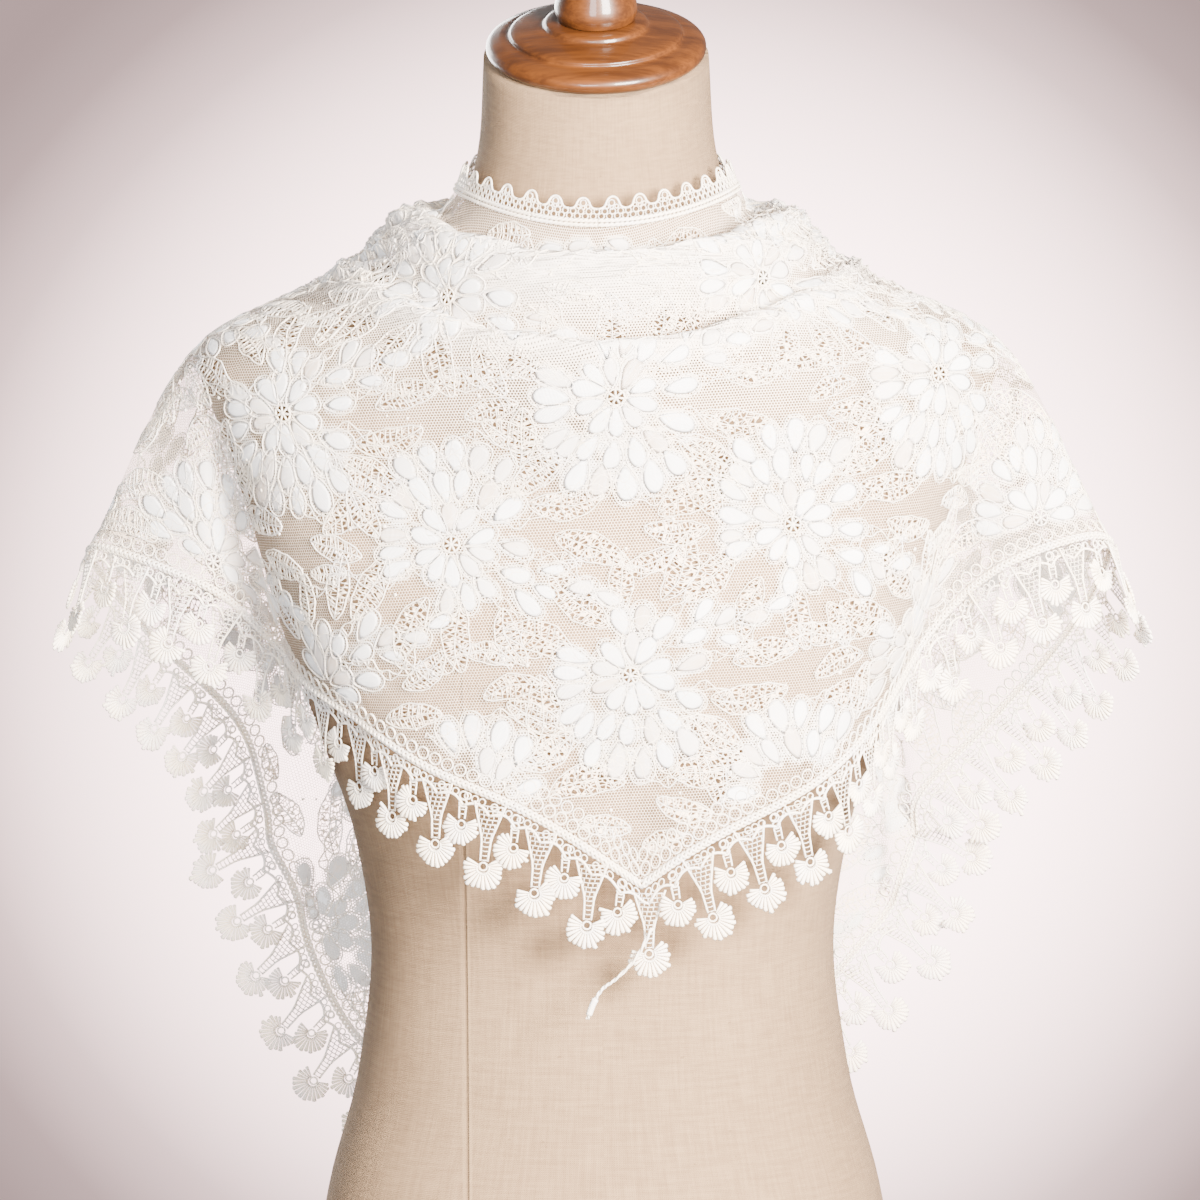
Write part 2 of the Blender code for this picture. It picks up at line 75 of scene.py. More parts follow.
veilShape = {
    # name, halfWidth, front, back, frontZ, sideZ, backZ, rows
    "rings": (
        ("seam", 0.0705, 0.0715, 0.0640, 0.6110, 0.6245, 0.6400, 1),
        ("firstValley", 0.0785, 0.0780, 0.0720, 0.5810, 0.6135, 0.6280, 2),
        ("firstRoll", 0.0920, 0.0960, 0.0780, 0.6010, 0.6165, 0.6190, 2),
        ("firstFace", 0.1065, 0.1040, 0.0830, 0.5860, 0.6060, 0.6080, 1),
        ("secondValley", 0.1160, 0.1050, 0.0870, 0.5530, 0.5940, 0.5920, 2),
        ("secondRoll", 0.1270, 0.1165, 0.0920, 0.5620, 0.5880, 0.5780, 2),
        ("secondFace", 0.1420, 0.1210, 0.0950, 0.5440, 0.5785, 0.5620, 2),
        ("yoke", 0.1985, 0.1080, 0.0990, 0.4800, 0.5495, 0.5250, 6),
    ),
    # name, neckDegrees, hemX, hemY, hemZ, standOut
    "leftLines": (
        ("point", 0, 0.0190, -0.1125, 0.2970, 0.15),
        ("bustFront", 18, -0.0312, -0.1165, 0.3310, 0.15),
        ("bustSide", 36, -0.0875, -0.1050, 0.3560, 0.20),
        ("armholeFront", 52, -0.1273, -0.0700, 0.3790, 0.25),
        ("tuck", 66, -0.1640, -0.0180, 0.4040, 0.35),
        ("wingFront", 77, -0.2010, -0.0270, 0.4350, 0.60),
        ("wingRidge", 90, -0.2560, 0.0080, 0.4455, 0.70),
        ("wingBack", 104, -0.2300, 0.0450, 0.3990, 0.70),
        ("blade", 120, -0.1870, 0.0820, 0.3450, 0.75),
        ("backSide", 138, -0.1740, 0.0980, 0.2960, 0.80),
        ("back", 150, -0.1590, 0.1040, 0.2490, 0.75),
        ("lowBack", 159, -0.1330, 0.1110, 0.1770, 0.65),
        ("centreBack", 167, -0.0155, 0.1130, 0.0900, 0.40),
    ),
    "rightLines": (
        ("point", 0, 0.0190, -0.1125, 0.2970, 0.30),
        ("bustFront", 18, 0.0534, -0.1140, 0.3197, 0.50),
        ("bustSide", 36, 0.1050, -0.0980, 0.3450, 0.45),
        ("armholeFront", 52, 0.1349, -0.0650, 0.3690, 0.40),
        ("tuck", 66, 0.1620, -0.0200, 0.4030, 0.40),
        ("wingFront", 77, 0.2100, -0.0290, 0.4450, 0.60),
        ("wingRidge", 90, 0.2554, 0.0020, 0.4465, 0.70),
        ("wingBack", 104, 0.2400, 0.0400, 0.4000, 0.70),
        ("blade", 120, 0.2010, 0.0790, 0.3440, 0.75),
        ("backSide", 138, 0.1634, 0.0970, 0.2990, 0.80),
        ("back", 150, 0.1550, 0.1020, 0.2560, 0.75),
        ("lowBack", 159, 0.1266, 0.1080, 0.2100, 0.65),
        ("centreBack", 167, 0.0155, 0.1130, 0.0920, 0.40),
    ),
    # name, neckDegrees, widthDegrees, depth
    "backFolds": (
        ("bladeFold", 144, 4, 0.009),
        ("middleFold", 154, 3, 0.008),
        ("innerFold", 162, 2, 0.007),
    ),
    "foldStart": 5,
    "backStart": math.radians(120),
    "backEnd": math.radians(167),
    "longEdge": 0.0155,
    "restGap": 0.0028,
    "dropPitch": 0.014,
    "flatHalfWidth": 0.76,        # the triangle that the spreading of the pattern starts from
    "flatDepth": 0.44,
    "gather": (0.1, 0.3, 1.0, 0.8, 0.12, 0.9, 0.3, 0.03, 0.0),    # at each ring and at the hem
    "stepsPerRing": 14,
    "ripple": 0.0085,
    "rippleHeight": 0.0009,
    "pleat": (0.019, 0.0015),     # length and height of the larger folds of the rolls
    # neck place as a turn, spread, height and length of the bunched folds beside the neck
    "bunch": (0.40, 0.11, 0.0026, 0.021),
    "columns": 210,               # on each side of the point
    "rows": 130,
    "spreadSteps": 3000,
}


# Radius of each kind of thread
gauge = {
    "outline": 0.00043, "heartRing": 0.00065, "heartSpoke": 0.00055,
    "leafRim": 0.00047, "leafVein": 0.00045, "leafBar": 0.00034,
    "vine": 0.00050, "fineVine": 0.00040, "vineRung": 0.0004,
    "borderRing": 0.0006, "innerRing": 0.00055, "smallRing": 0.00047, "braid": 0.00078, "borderArch": 0.0007,
    "longCord": 0.00055, "shortCord": 0.0005, "rung": 0.00036, "link": 0.00032, "dropRing": 0.00048,
    "fanRing": 0.0005, "fanBow": 0.0006,
    "edgingCord": 0.00075, "edgingRing": 0.00042, "edgingArch": 0.0006, "picot": 0.00045,
    "looseStrand": 0.0006, "looseWrap": 0.0016,
}


def numbers(table):
    return np.array([row[1:] for row in table], float)


def unit(vectors):
    return vectors / np.maximum(np.linalg.norm(vectors, axis=-1, keepdims=True), 1e-12)


# The signed area between flat vectors
def areaOf(a, b):
    return a[..., 0] * b[..., 1] - a[..., 1] * b[..., 0]


# Lengths along a path from its start
def lengthsAlong(path):
    return np.concatenate(([0], np.cumsum(np.linalg.norm(np.diff(path, axis=0), axis=1))))


# Rows of a table at places between the known ones
def between(places, known, rows):
    return np.stack([np.interp(places, known, column) for column in rows.T], -1)


# Points of the centripetal Catmull-Rom curve through rows, at places counted in rows
def smoothRows(rows, places):
    count = rows.shape[-2] - 1
    first, last = 2 * rows[..., :1, :] - rows[..., 1:2, :], 2 * rows[..., -1:, :] - rows[..., -2:-1, :]
    padded = np.concatenate((first, rows, last), axis=-2)
    i = np.minimum(places.astype(int), count - 1)
    t = (places - i)[:, None]
    before, a, b, after = (padded[..., i + k, :] for k in range(4))
    steps = ((before, a), (a, b), (b, after))
    d0, d1, d2 = (np.maximum(np.linalg.norm(q - p, axis=-1, keepdims=True), 1e-6) ** 0.5 for p, q in steps)
    slopeA = d1 * ((a - before) / d0 - (b - before) / (d0 + d1) + (b - a) / d1)
    slopeB = d1 * ((b - a) / d1 - (after - a) / (d1 + d2) + (after - b) / d2)
    ease = t * t * (3 - 2 * t)
    return a + ease * (b - a) + t * (1 - t) ** 2 * slopeA - t * t * (1 - t) * slopeB


formCurve = smoothRows(numbers(dressForm["sections"]), np.arange(0, 17 * 12 + 1) / 12)


# How far points are outside the form, as a share of its section
def formExcess(points):
    x, y, z = np.moveaxis(points, -1, 0)
    halfWidth, front, back, power = (np.interp(z, formCurve[:, 0], formCurve[:, k]) for k in (1, 2, 3, 4))
    depth = np.where(y < 0, front, back)
    return ((abs(x) / halfWidth) ** power + (abs(y) / depth) ** power) ** (1 / power) - 1


# Moves points out along the form's slope until they have the gap
def clearOfForm(points, gap, rounds=6):
    points = np.array(points, float)
    shape = points.shape
    points = points.reshape(-1, 3)
    near = np.nonzero(formExcess(points) < 0.25)[0]
    moved = points[near]
    shifts = 0.0005 * np.eye(3)
    for _ in range(rounds):
        rise = np.stack([formExcess(moved + d) - formExcess(moved - d) for d in shifts], -1) / 0.001
        steepness = np.linalg.norm(rise, axis=-1)
        lack = np.maximum(gap - formExcess(moved) / steepness, 0)
        moved += rise * (lack / steepness)[:, None]
    points[near] = moved
    return points.reshape(shape)


# One half of the trimmed edge: length from the point, neck angle, place, stand out
def halfEdge(table):
    rows = numbers(table)
    rows[:, 0] *= 0.001
    dense = smoothRows(rows, np.arange(12 * (len(rows) - 1) + 1) / 12)
    dense[:, 0] *= 1000
    return np.column_stack((lengthsAlong(dense[:, 1:4]), dense))


halfEdges = halfEdge(veilShape["leftLines"]), halfEdge(veilShape["rightLines"])
edgeLengths = [edge[-1, 0] for edge in halfEdges]
pitches = [round(length / veilShape["dropPitch"] / 2) * 2 for length in edgeLengths]


# Columns of the veil from the neck to the trimmed edge.
# A turn runs from -1, the left tip, by 0, the point, to 1, the right tip.
def veilColumns(turns, places):
    left, right = (between(abs(turns) * edge[-1, 0], edge[:, 0], edge[:, 1:]).T for edge in halfEdges)
    angle, *hem, standOut = np.where(turns < 0, left, right)
    degrees, angle, side = angle, np.radians(angle)[:, None], np.where(turns < 0, -1, 1)[:, None]
    rings = numbers(veilShape["rings"])
    halfWidth, front, back, frontZ, sideZ, backZ = rings[:, :6].T
    lean = np.cos(angle)
    start, end = veilShape["backStart"], veilShape["backEnd"]
    inward = np.maximum(0, (angle - start) / (end - start)) ** 2
    x = halfWidth * np.sin(angle) - inward * (halfWidth * math.sin(end) - veilShape["longEdge"])
    y = np.where(lean > 0, -front, -back) * lean
    z = sideZ + (np.where(lean > 0, frontZ, backZ) - sideZ) * lean ** 2
    knots = np.concatenate((np.stack((side * x, y, z), -1), np.stack(hem, -1)[:, None]), axis=1)
    points = smoothRows(knots, places)
    hang = np.clip((places - veilShape["foldStart"]) / (len(rings) - veilShape["foldStart"]), 0, 1)
    outward = np.concatenate((side * np.sin(angle), -np.cos(angle), 0 * angle), axis=1)
    for _, at, width, depth in veilShape["backFolds"]:
        rise = depth * np.exp(-((degrees - at) / width) ** 2)
        points += hang[None, :, None] * outward[:, None] * rise[:, None, None]
    return clearOfForm(points, veilShape["restGap"]), standOut


# The fine grid of the lace ground: rows are even shares of each column's length
turns = np.linspace(-1, 1, 2 * veilShape["columns"] + 1)
shares = np.linspace(0, 1, veilShape["rows"] + 1)
stepsPerRing = veilShape["stepsPerRing"]
columns, _ = veilColumns(turns, np.arange(len(veilShape["rings"]) * stepsPerRing + 1) / stepsPerRing)
lengths = np.cumsum(np.linalg.norm(np.diff(columns, axis=1), axis=2), axis=1)
lengths = np.concatenate((np.zeros((len(turns), 1)), lengths), axis=1)
cloth = np.stack([between(shares * length[-1], length, column) for column, length in zip(columns, lengths)])
clothNormals = unit(np.cross(np.gradient(cloth, axis=1), np.gradient(cloth, axis=0)))
# How much the cloth is gathered at each ring, and the small ripples that this makes
ringShares = lengths[:, ::stepsPerRing] / lengths[:, -1:]
gathered = np.stack([np.interp(shares, ringShare, veilShape["gather"]) for ringShare in ringShares])
gathered *= np.interp(abs(turns), (0, 0.35, 0.6, 0.75), (1, 1, 0.8, 0.3))[:, None]
ripple = np.sin(2 * math.pi * shares * lengths[:, -1:] / veilShape["ripple"]
                + 2.6 * np.sin(11 * turns)[:, None] + 1.9 * np.sin(27 * turns + 1)[:, None])
bunchAt, bunchSpread, bunchHeight, bunchLength = veilShape["bunch"]
sideSteps = np.linalg.norm(np.diff(cloth, axis=0), axis=2)
around = np.cumsum(np.concatenate((np.zeros((1, len(shares))), sideSteps)), 0)
bunch = np.sin(2 * math.pi * (around + 0.25 * shares * lengths[:, -1:]) / bunchLength
               + 1.3 * np.sin(17 * turns)[:, None])
bunch *= (np.exp(-((abs(turns) - bunchAt) / bunchSpread) ** 2)[:, None]
          * np.interp(shares, (0, 0.06, 0.3, 0.42), (0, 1, 1, 0)))
pleatLength, pleatHeight = veilShape["pleat"]
pleat = np.sin(2 * math.pi * shares * lengths[:, -1:] / pleatLength
               + 3.4 * np.sin(6 * turns + 0.5)[:, None] + 1.2 * np.sin(19 * turns)[:, None])
height = gathered * (veilShape["rippleHeight"] * ripple + pleatHeight * pleat) + bunchHeight * bunch
cloth += clothNormals * height[..., None]
cloth = clearOfForm(cloth, veilShape["restGap"] * 0.6)
clothNormals = unit(np.cross(np.gradient(cloth, axis=1), np.gradient(cloth, axis=0)))
neckArc = lengthsAlong(cloth[:, 0])
neckArc -= neckArc[veilShape["columns"]]
print("cloth grid", cloth.shape, "neck edge", round(neckArc[-1] - neckArc[0], 3))


# Values of a grid at turns and shares
def onGrid(values, turn, share):
    i = np.clip((turn + 1) / 2 * (values.shape[0] - 1), 0, values.shape[0] - 1.000001)
    j = np.clip(share * (values.shape[1] - 1), 0, values.shape[1] - 1.000001)
    a, b = i.astype(int), j.astype(int)
    s, t = (i - a)[..., None], (j - b)[..., None]
    low = values[a, b] * (1 - t) + values[a, b + 1] * t
    high = values[a + 1, b] * (1 - t) + values[a + 1, b + 1] * t
    return low * (1 - s) + high * s


# The pattern of the lace is laid out on the cloth spread flat: quads of a coarse grid turn and move,
# keeping their worn size, until they fit their neighbours
def spreadFlat(worn, start):
    corners = ((slice(None, -1), slice(None, -1)), (slice(1, None), slice(None, -1)),
               (slice(1, None), slice(1, None)), (slice(None, -1), slice(1, None)))
    quads = np.stack([worn[c] for c in corners], 2)
    across = unit(quads[:, :, 1] - quads[:, :, 0] + quads[:, :, 2] - quads[:, :, 3])
    down = quads[:, :, 3] - quads[:, :, 0] + quads[:, :, 2] - quads[:, :, 1]
    down = unit(down - (down * across).sum(-1, keepdims=True) * across)
    rest = np.stack(((quads * across[:, :, None]).sum(-1), (quads * down[:, :, None]).sum(-1)), -1)
    rest -= rest.mean(2, keepdims=True)
    around = [np.linalg.norm(np.roll(q, -1, 2) - q, axis=-1).sum(2) for q in (quads, rest)]
    rest *= (around[0] / around[1])[..., None, None]
    flat, shared = start.copy(), np.zeros(start.shape[:2] + (1,))
    for c in corners:
        shared[c] += 1
    for _ in range(veilShape["spreadSteps"]):
        now = np.stack([flat[c] for c in corners], 2)
        middle = now.mean(2, keepdims=True)
        now = now - middle
        a = (now * rest).sum((2, 3))
        b = areaOf(rest, now).sum(2)
        a, b = (part[..., None] / np.hypot(a, b)[..., None] for part in (a, b))
        x, y = rest[..., 0], rest[..., 1]
        goal = np.stack((a * x - b * y, b * x + a * y), -1) + middle
        fitted = np.zeros_like(flat)
        for k, c in enumerate(corners):
            fitted[c] += goal[:, :, k]
        flat += 1.8 * (fitted / shared - flat)
    flat = (flat + fitted / shared) / 2
    front = len(flat) // 2
    flat -= flat[front, 0]
    x, y = unit(flat[front, -1])
    return flat @ np.array(((y, x), (-x, y)))


coarse = np.ix_(np.arange(0, len(turns), 6), np.arange(0, len(shares), 5))
turnGrid, shareGrid = np.meshgrid(turns, shares, indexing="ij")
neckEnds = np.stack((np.interp(turnGrid, turns, neckArc), 0 * turnGrid), -1)
hemEnds = np.stack((turnGrid * veilShape["flatHalfWidth"], (1 - abs(turnGrid)) * veilShape["flatDepth"]), -1)
spread = spreadFlat(cloth[coarse], (neckEnds + (hemEnds - neckEnds) * shareGrid[..., None])[coarse])
pattern = onGrid(spread, turnGrid, shareGrid)
lookStep = 0.004
lookLow = pattern.min((0, 1)) - lookStep
lookup = np.full((*np.ceil((pattern.max((0, 1)) - lookLow) / lookStep).astype(int) + 2, 2), np.nan)
cell = ((pattern - lookLow) / lookStep).astype(int)
lookup[cell[..., 0], cell[..., 1]] = np.stack((turnGrid, shareGrid), -1)
for _ in range(40):               # cells off the cloth take the nearest place on it
    for axis in (0, 1):
        for way in (1, -1):
            moved = np.roll(lookup, way, axis)
            lookup = np.where(np.isnan(lookup), moved, lookup)
print("pattern spread", np.round(pattern[0, -1], 3), np.round(pattern[-1, -1], 3))


# Where points of the pattern lie on the worn cloth, a margin inside its edges, and how far each had to move
def findOnCloth(points, neckMargin=0.0015, hemMargin=0.0098):
    at = np.clip(((points - lookLow) / lookStep).astype(int), 0, np.array(lookup.shape[:2]) - 1)
    turn, share = np.moveaxis(np.nan_to_num(lookup[at[..., 0], at[..., 1]]), -1, 0)
    for _ in range(5):
        here = onGrid(spread, turn, share)
        byTurn = (onGrid(spread, np.clip(turn + 0.002, -1, 1), share)
                  - onGrid(spread, np.clip(turn - 0.002, -1, 1), share)) / 0.004
        byShare = (onGrid(spread, turn, np.clip(share + 0.004, 0, 1))
                   - onGrid(spread, turn, np.clip(share - 0.004, 0, 1))) / 0.008
        miss = points - here
        area = areaOf(byTurn, byShare)
        area = np.where(abs(area) < 1e-4, 1e-4, area)
        turn = turn + np.clip(areaOf(miss, byShare) / area, -0.1, 0.1)
        share = share + np.clip(areaOf(byTurn, miss) / area, -0.1, 0.1)
        length = np.interp(turn, turns, lengths[:, -1])
        turn = np.clip(turn, -1, 1)
        share = np.clip(share, neckMargin / length, 1 - hemMargin / length)
    return turn, share, np.linalg.norm(points - onGrid(spread, turn, share), axis=-1)


# Places and normals on the worn cloth, raised by height
def raised(turn, share, height=0.0):
    normals = unit(onGrid(clothNormals, turn, share))
    height = np.broadcast_to(np.asarray(height, float), turn.shape)[..., None]
    return onGrid(cloth, turn, share) + normals * height, normals


# One ring of vertices for each step of a tube, with z counting the rings
def tubeShape(rings, sides):
    bm = bmesh.new()
    bmesh.ops.create_circle(bm, segments=sides, radius=1)
    ring = bm.edges[:]
    for _ in range(rings - 1):
        made = bmesh.ops.extrude_edge_only(bm, edges=ring)["geom"]
        ends = {part for part in made if isinstance(part, bmesh.types.BMVert)}
        bmesh.ops.translate(bm, verts=list(ends), vec=(0, 0, 1))
        ring = [part for part in made if isinstance(part, bmesh.types.BMEdge) and ends.issuperset(part.verts)]
    bmesh.ops.holes_fill(bm, edges=[edge for edge in bm.edges if edge.is_boundary], sides=sides)
    return keepShape(bm)


# A ring of tube, spun round z at radius 1
def loopShape(rings, sides):
    bm = bmesh.new()
    stand = Matrix.Translation((1, 0, 0)) @ Matrix.Rotation(math.pi / 2, 4, "X")
    bmesh.ops.create_circle(bm, segments=sides, radius=0.25, matrix=stand)
    bmesh.ops.spin(bm, geom=bm.verts[:] + bm.edges[:], cent=(0, 0, 0), axis=(0, 0, 1), dvec=(0, 0, 0),
                   angle=2 * math.pi, steps=rings, use_merge=True)
    return keepShape(bm)


def beadShape(sides, rings):
    bm = bmesh.new()
    bmesh.ops.create_uvsphere(bm, u_segments=sides, v_segments=rings, radius=1)
    return keepShape(bm)


def keepShape(bm):
    bmesh.ops.recalc_face_normals(bm, faces=bm.faces[:])
    mesh = bpy.data.meshes.new("shape")
    bm.to_mesh(mesh)
    bm.free()
    return mesh, readValues(mesh.vertices, "co", 3)


# What a mesh's vertices, corners or faces hold, as an array
def readValues(parts, name, width=1, kind=float):
    values = np.empty(len(parts) * width, kind)
    parts.foreach_get(name, values)
    return values.reshape(-1, width) if width > 1 else values


def evenAngles(steps):
    return np.arange(steps) / steps * 2 * math.pi


def circle(steps):
    return np.cos(evenAngles(steps)), np.sin(evenAngles(steps))


# A batch of copies of a tube or loop shape laid along paths, by the paths and the normals of the cloth below
def follow(shape, laid, thread, closed=False):
    paths, normals = laid
    x, y, z = shape[1].T
    rings = paths.shape[1]
    if closed:
        ring = np.round(np.arctan2(y, x) / (2 * math.pi) * rings).astype(int) % rings
        across, rise = -4 * (np.hypot(x, y) - 1), 4 * z
        ways = np.roll(paths, -1, 1) - np.roll(paths, 1, 1)
    else:
        ring, across, rise = np.round(z).astype(int), x, y
        ways = np.gradient(paths, axis=1)
    ways = unit(ways)
    side = unit(np.cross(normals, ways))
    up = np.cross(ways, side)
    places = paths[:, ring] + gauge[thread] * (across[:, None] * side[:, ring] + rise[:, None] * up[:, ring])
    return shape, places


# One object from batches of repeated shapes and the places of their vertices
def newPiece(name, batches, finish):
    bm = bmesh.new()
    for (mesh, _), places in batches:
        for _ in range(len(places)):
            bm.from_mesh(mesh)
    made = bpy.data.meshes.new(name)
    bm.to_mesh(made)
    bm.free()
    made.vertices.foreach_set("co", np.concatenate([places.reshape(-1, 3) for _, places in batches]).ravel())
    return placePiece(name, made, finish)


def placePiece(name, mesh, finish):
    mesh.update()
    mesh.shade_smooth()
    mesh.materials.append(finish)
    piece = bpy.data.objects.new(name, mesh)
    bpy.context.scene.collection.objects.link(piece)
    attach(piece, "root")
    mesh.calc_loop_triangles()
    print(name, len(mesh.loop_triangles), "triangles")
    return piece


# A value for each copy of each batch, kept on its vertices
def keepValues(piece, name, values):
    layer = piece.data.attributes.new(name, "FLOAT", "POINT")
    layer.data.foreach_set("value", np.concatenate([part.ravel() for part in values]).astype(np.float32))


# A value inside a material: arithmetic on it adds the Math nodes
class Level:
    def __init__(self, look, socket):
        self.look, self.socket = look, socket

    def __add__(self, other):
        return self.look.math("ADD", self, other)

    def __sub__(self, other):
        return self.look.math("SUBTRACT", self, other)

    def __rsub__(self, other):
        return self.look.math("SUBTRACT", other, self)

    def __mul__(self, other):
        return self.look.math("MULTIPLY", self, other)

    def __truediv__(self, other):
        return self.look.math("DIVIDE", self, other)

    def __mod__(self, other):
        return self.look.math("FLOORED_MODULO", self, other)

    def __lt__(self, other):
        return self.look.math("LESS_THAN", self, other)

    def __gt__(self, other):
        return self.look.math("GREATER_THAN", self, other)

    def __abs__(self):
        return self.look.math("ABSOLUTE", self)


# A new material or world, and short ways to add nodes and join them
class Finish:
    def __init__(self, name, kind=bpy.data.materials):
        self.made = kind.new(name)
        self.made.use_nodes = True
        self.tree = self.made.node_tree
        self.shader = self.tree.nodes.get("Principled BSDF")

    def put(self, socket, value):
        if isinstance(value, Level):
            self.tree.links.new(value.socket, socket)
        else:
            socket.default_value = value

    # Sockets go by name, or by number as in _0
    def node(self, kind, settings=None, output=0, **sockets):
        made = self.tree.nodes.new(kind)
        for name, value in (settings or {}).items():
            setattr(made, name, value)
        for name, value in sockets.items():
            place = int(name[1:]) if name[1:].isdigit() else name.replace("_", " ")
            self.put(made.inputs[place], value)
        return Level(self, made.outputs[output])

    # Gives the shader's own sockets their values
    def give(self, **sockets):
        for name, value in sockets.items():
            self.put(self.shader.inputs[name.replace("_", " ")], value)

    def math(self, operation, *values):
        numbered = {f"_{k}": value for k, value in enumerate(values)}
        return self.node("ShaderNodeMath", {"operation": operation}, **numbered)

    def blend(self, share, first, second):
        return self.node("ShaderNodeMix", {"data_type": "RGBA"}, 2, _0=share, _6=first, _7=second)

    # A smooth step from 0 to 1 between two values
    def step(self, value, low, high):
        smooth = {"interpolation_type": "SMOOTHSTEP"}
        return self.node("ShaderNodeMapRange", smooth, _0=value, _1=low, _2=high)

    def noise(self, vector, scale, detail=2.0, roughness=0.5):
        return self.node("ShaderNodeTexNoise", Vector=vector, Scale=scale, Detail=detail, Roughness=roughness)

    def stretch(self, vector, scale=(1, 1, 1), turn=(0, 0, 0)):
        return self.node("ShaderNodeMapping", Vector=vector, Scale=scale, Rotation=turn)

    def place(self, scale=(1, 1, 1), turn=(0, 0, 0)):
        return self.stretch(self.node("ShaderNodeTexCoord", output="Object"), scale, turn)

    def layout(self, name):
        return self.node("ShaderNodeUVMap", {"uv_map": name})

    # What a piece keeps on its vertices under a name
    def kept(self, name):
        return self.node("ShaderNodeAttribute", {"attribute_name": name}, "Fac")

    def parts(self, vector):
        split = self.node("ShaderNodeSeparateXYZ", _0=vector).socket.node
        return [Level(self, socket) for socket in split.outputs]

    def bump(self, height, distance, strength=1.0, **below):
        return self.node("ShaderNodeBump", Height=height, Distance=distance, Strength=strength, **below)


def colour(red, green, blue):
    return tuple(((c / 255 + 0.055) / 1.055) ** 2.4 for c in (red, green, blue)) + (1,)


flower = {
    "spacing": (0.164, 0.134),    # of flowers in a row, and of rows of one kind
    "upright": (0.082, 0.072),    # first flower with its fan of petals towards the neck
    "hanging": (0.0, 0.139),      # first flower with its fan towards the point
    # name, count, first direction, step, distance, length, width in degrees and millimetres
    "petals": (
        ("heart", 10, 18, 36, 13.0, 16.5, 9.2),
        ("lowFan", 4, 52, 22, 28.5, 18.0, 10.6),
        ("highFan", 5, 52, 17, 42.5, 17.5, 11.2),
        ("wideFan", 1, 27, 0, 30.5, 18.0, 10.6),
        ("outerFan", 2, 134, 14, 33.0, 17.0, 9.4),
        ("tail", 3, 168, 17, 29.5, 17.5, 9.6),
        ("side", 1, -8, 0, 30.0, 17.5, 9.4),
        ("root", 3, -98, 22, 26.5, 15.5, 9.8),
    ),
    # x, y towards the fan, direction, length, width
    "trail": (
        (30, -17, -15, 16, 8.5), (35, -30, -55, 17, 8.8), (45, -25, -35, 14, 8.5),
        (47, -15, 5, 13, 6.5), (60, -24, 0, 16, 8.8), (73, -30, -25, 13, 7.0),
    ),
    # x, y, direction, length, width
    "leaves": (
        (-47, 17, 195, 36, 15), (-40, 36, 140, 34, 14), (-58, 2, 170, 30, 12), (42, 33, 30, 38, 16),
        (55, 16, 5, 36, 14), (38, 50, 70, 30, 13), (-42, -20, 220, 36, 15), (-24, -38, 235, 34, 14),
        (0, -44, -85, 34, 14), (24, -48, -70, 32, 13), (66, -6, -15, 30, 12), (-68, -14, 185, 26, 11),
    ),
    "leafBend": 0.12,
    "margins": (0.004, 0.0125),   # from the neck edge and the hem to a motif's middle
    "heartHole": 0.0037,
    # knots of the cords that leave a flower
    "vines": (
        ((-52, -30), (-66, -40), (-84, -38), (-98, -26), (-108, -8)),
        ((58, 34), (74, 44), (90, 40), (104, 46), (118, 38)),
        ((-22, -52), (-40, -58), (-54, -50), (-70, -54)),
        ((30, -58), (48, -52), (64, -58), (82, -50)),
        ((-50, 46), (-66, 40), (-80, 26), (-96, 24)),
        ((-28, 48), (-48, 60), (-70, 54), (-92, 62)),
        ((60, 22), (78, 28), (94, 14), (112, 18)),
        ((-56, -6), (-74, -16), (-92, -4), (-114, -12)),
    ),
    # shift, wave and thread of the two cords of a vine
    "cords": ((0.0, 0.0014, "vine"), (0.0030, -0.0011, "fineVine")),
    "creamShare": 0.36,
    "thick": 0.00022,
    "lift": 0.0002,
}

laceLook = {
    "ground": colour(228, 204, 178),
    "dense": colour(219, 213, 207),    # the net where it is gathered, and under a flower
    "thread": colour(249, 232, 210),
    "petal": colour(253, 253, 254),
    "cream": colour(215, 194, 175),
    "meshSize": 0.0015,
    "stitch": 0.00062,            # distance between the satin stitches of a petal
    "cells": (330.0, 520.0, 1.0),  # cells to a metre inside the leaves
    "cellThread": 0.085,
    "bedThread": 0.40,            # what the dense ground under a flower adds to the thread
    "glow": 0.40,                 # how much light passes through the stitches
    "meshThread": 0.14,           # width of the net's thread as a share of a mesh
    "gatherThread": 0.62,         # what gathered cloth adds to it
}


def letLightThrough(look):
    look.give(Subsurface_Weight=laceLook["glow"], Subsurface_Radius=(1.0, 1.0, 1.0), Subsurface_Scale=0.0015)


# White cotton thread, with its colour and shine a little uneven
def threadFinish():
    look = Finish("laceThread")
    uneven = look.noise(look.place(), 60, 3)
    twist = look.noise(look.place(turn=(0.5, 0.3, 0.7)), 2600, 2)
    look.give(Base_Color=look.blend(look.step(uneven, 0.35, 0.75), laceLook["thread"], colour(236, 228, 222)),
              Normal=look.bump(twist, 0.0003, 0.6), Roughness=uneven * 0.25 + 0.6,
              Sheen_Weight=0.1, Sheen_Roughness=0.5)
    letLightThrough(look)
    return look.made


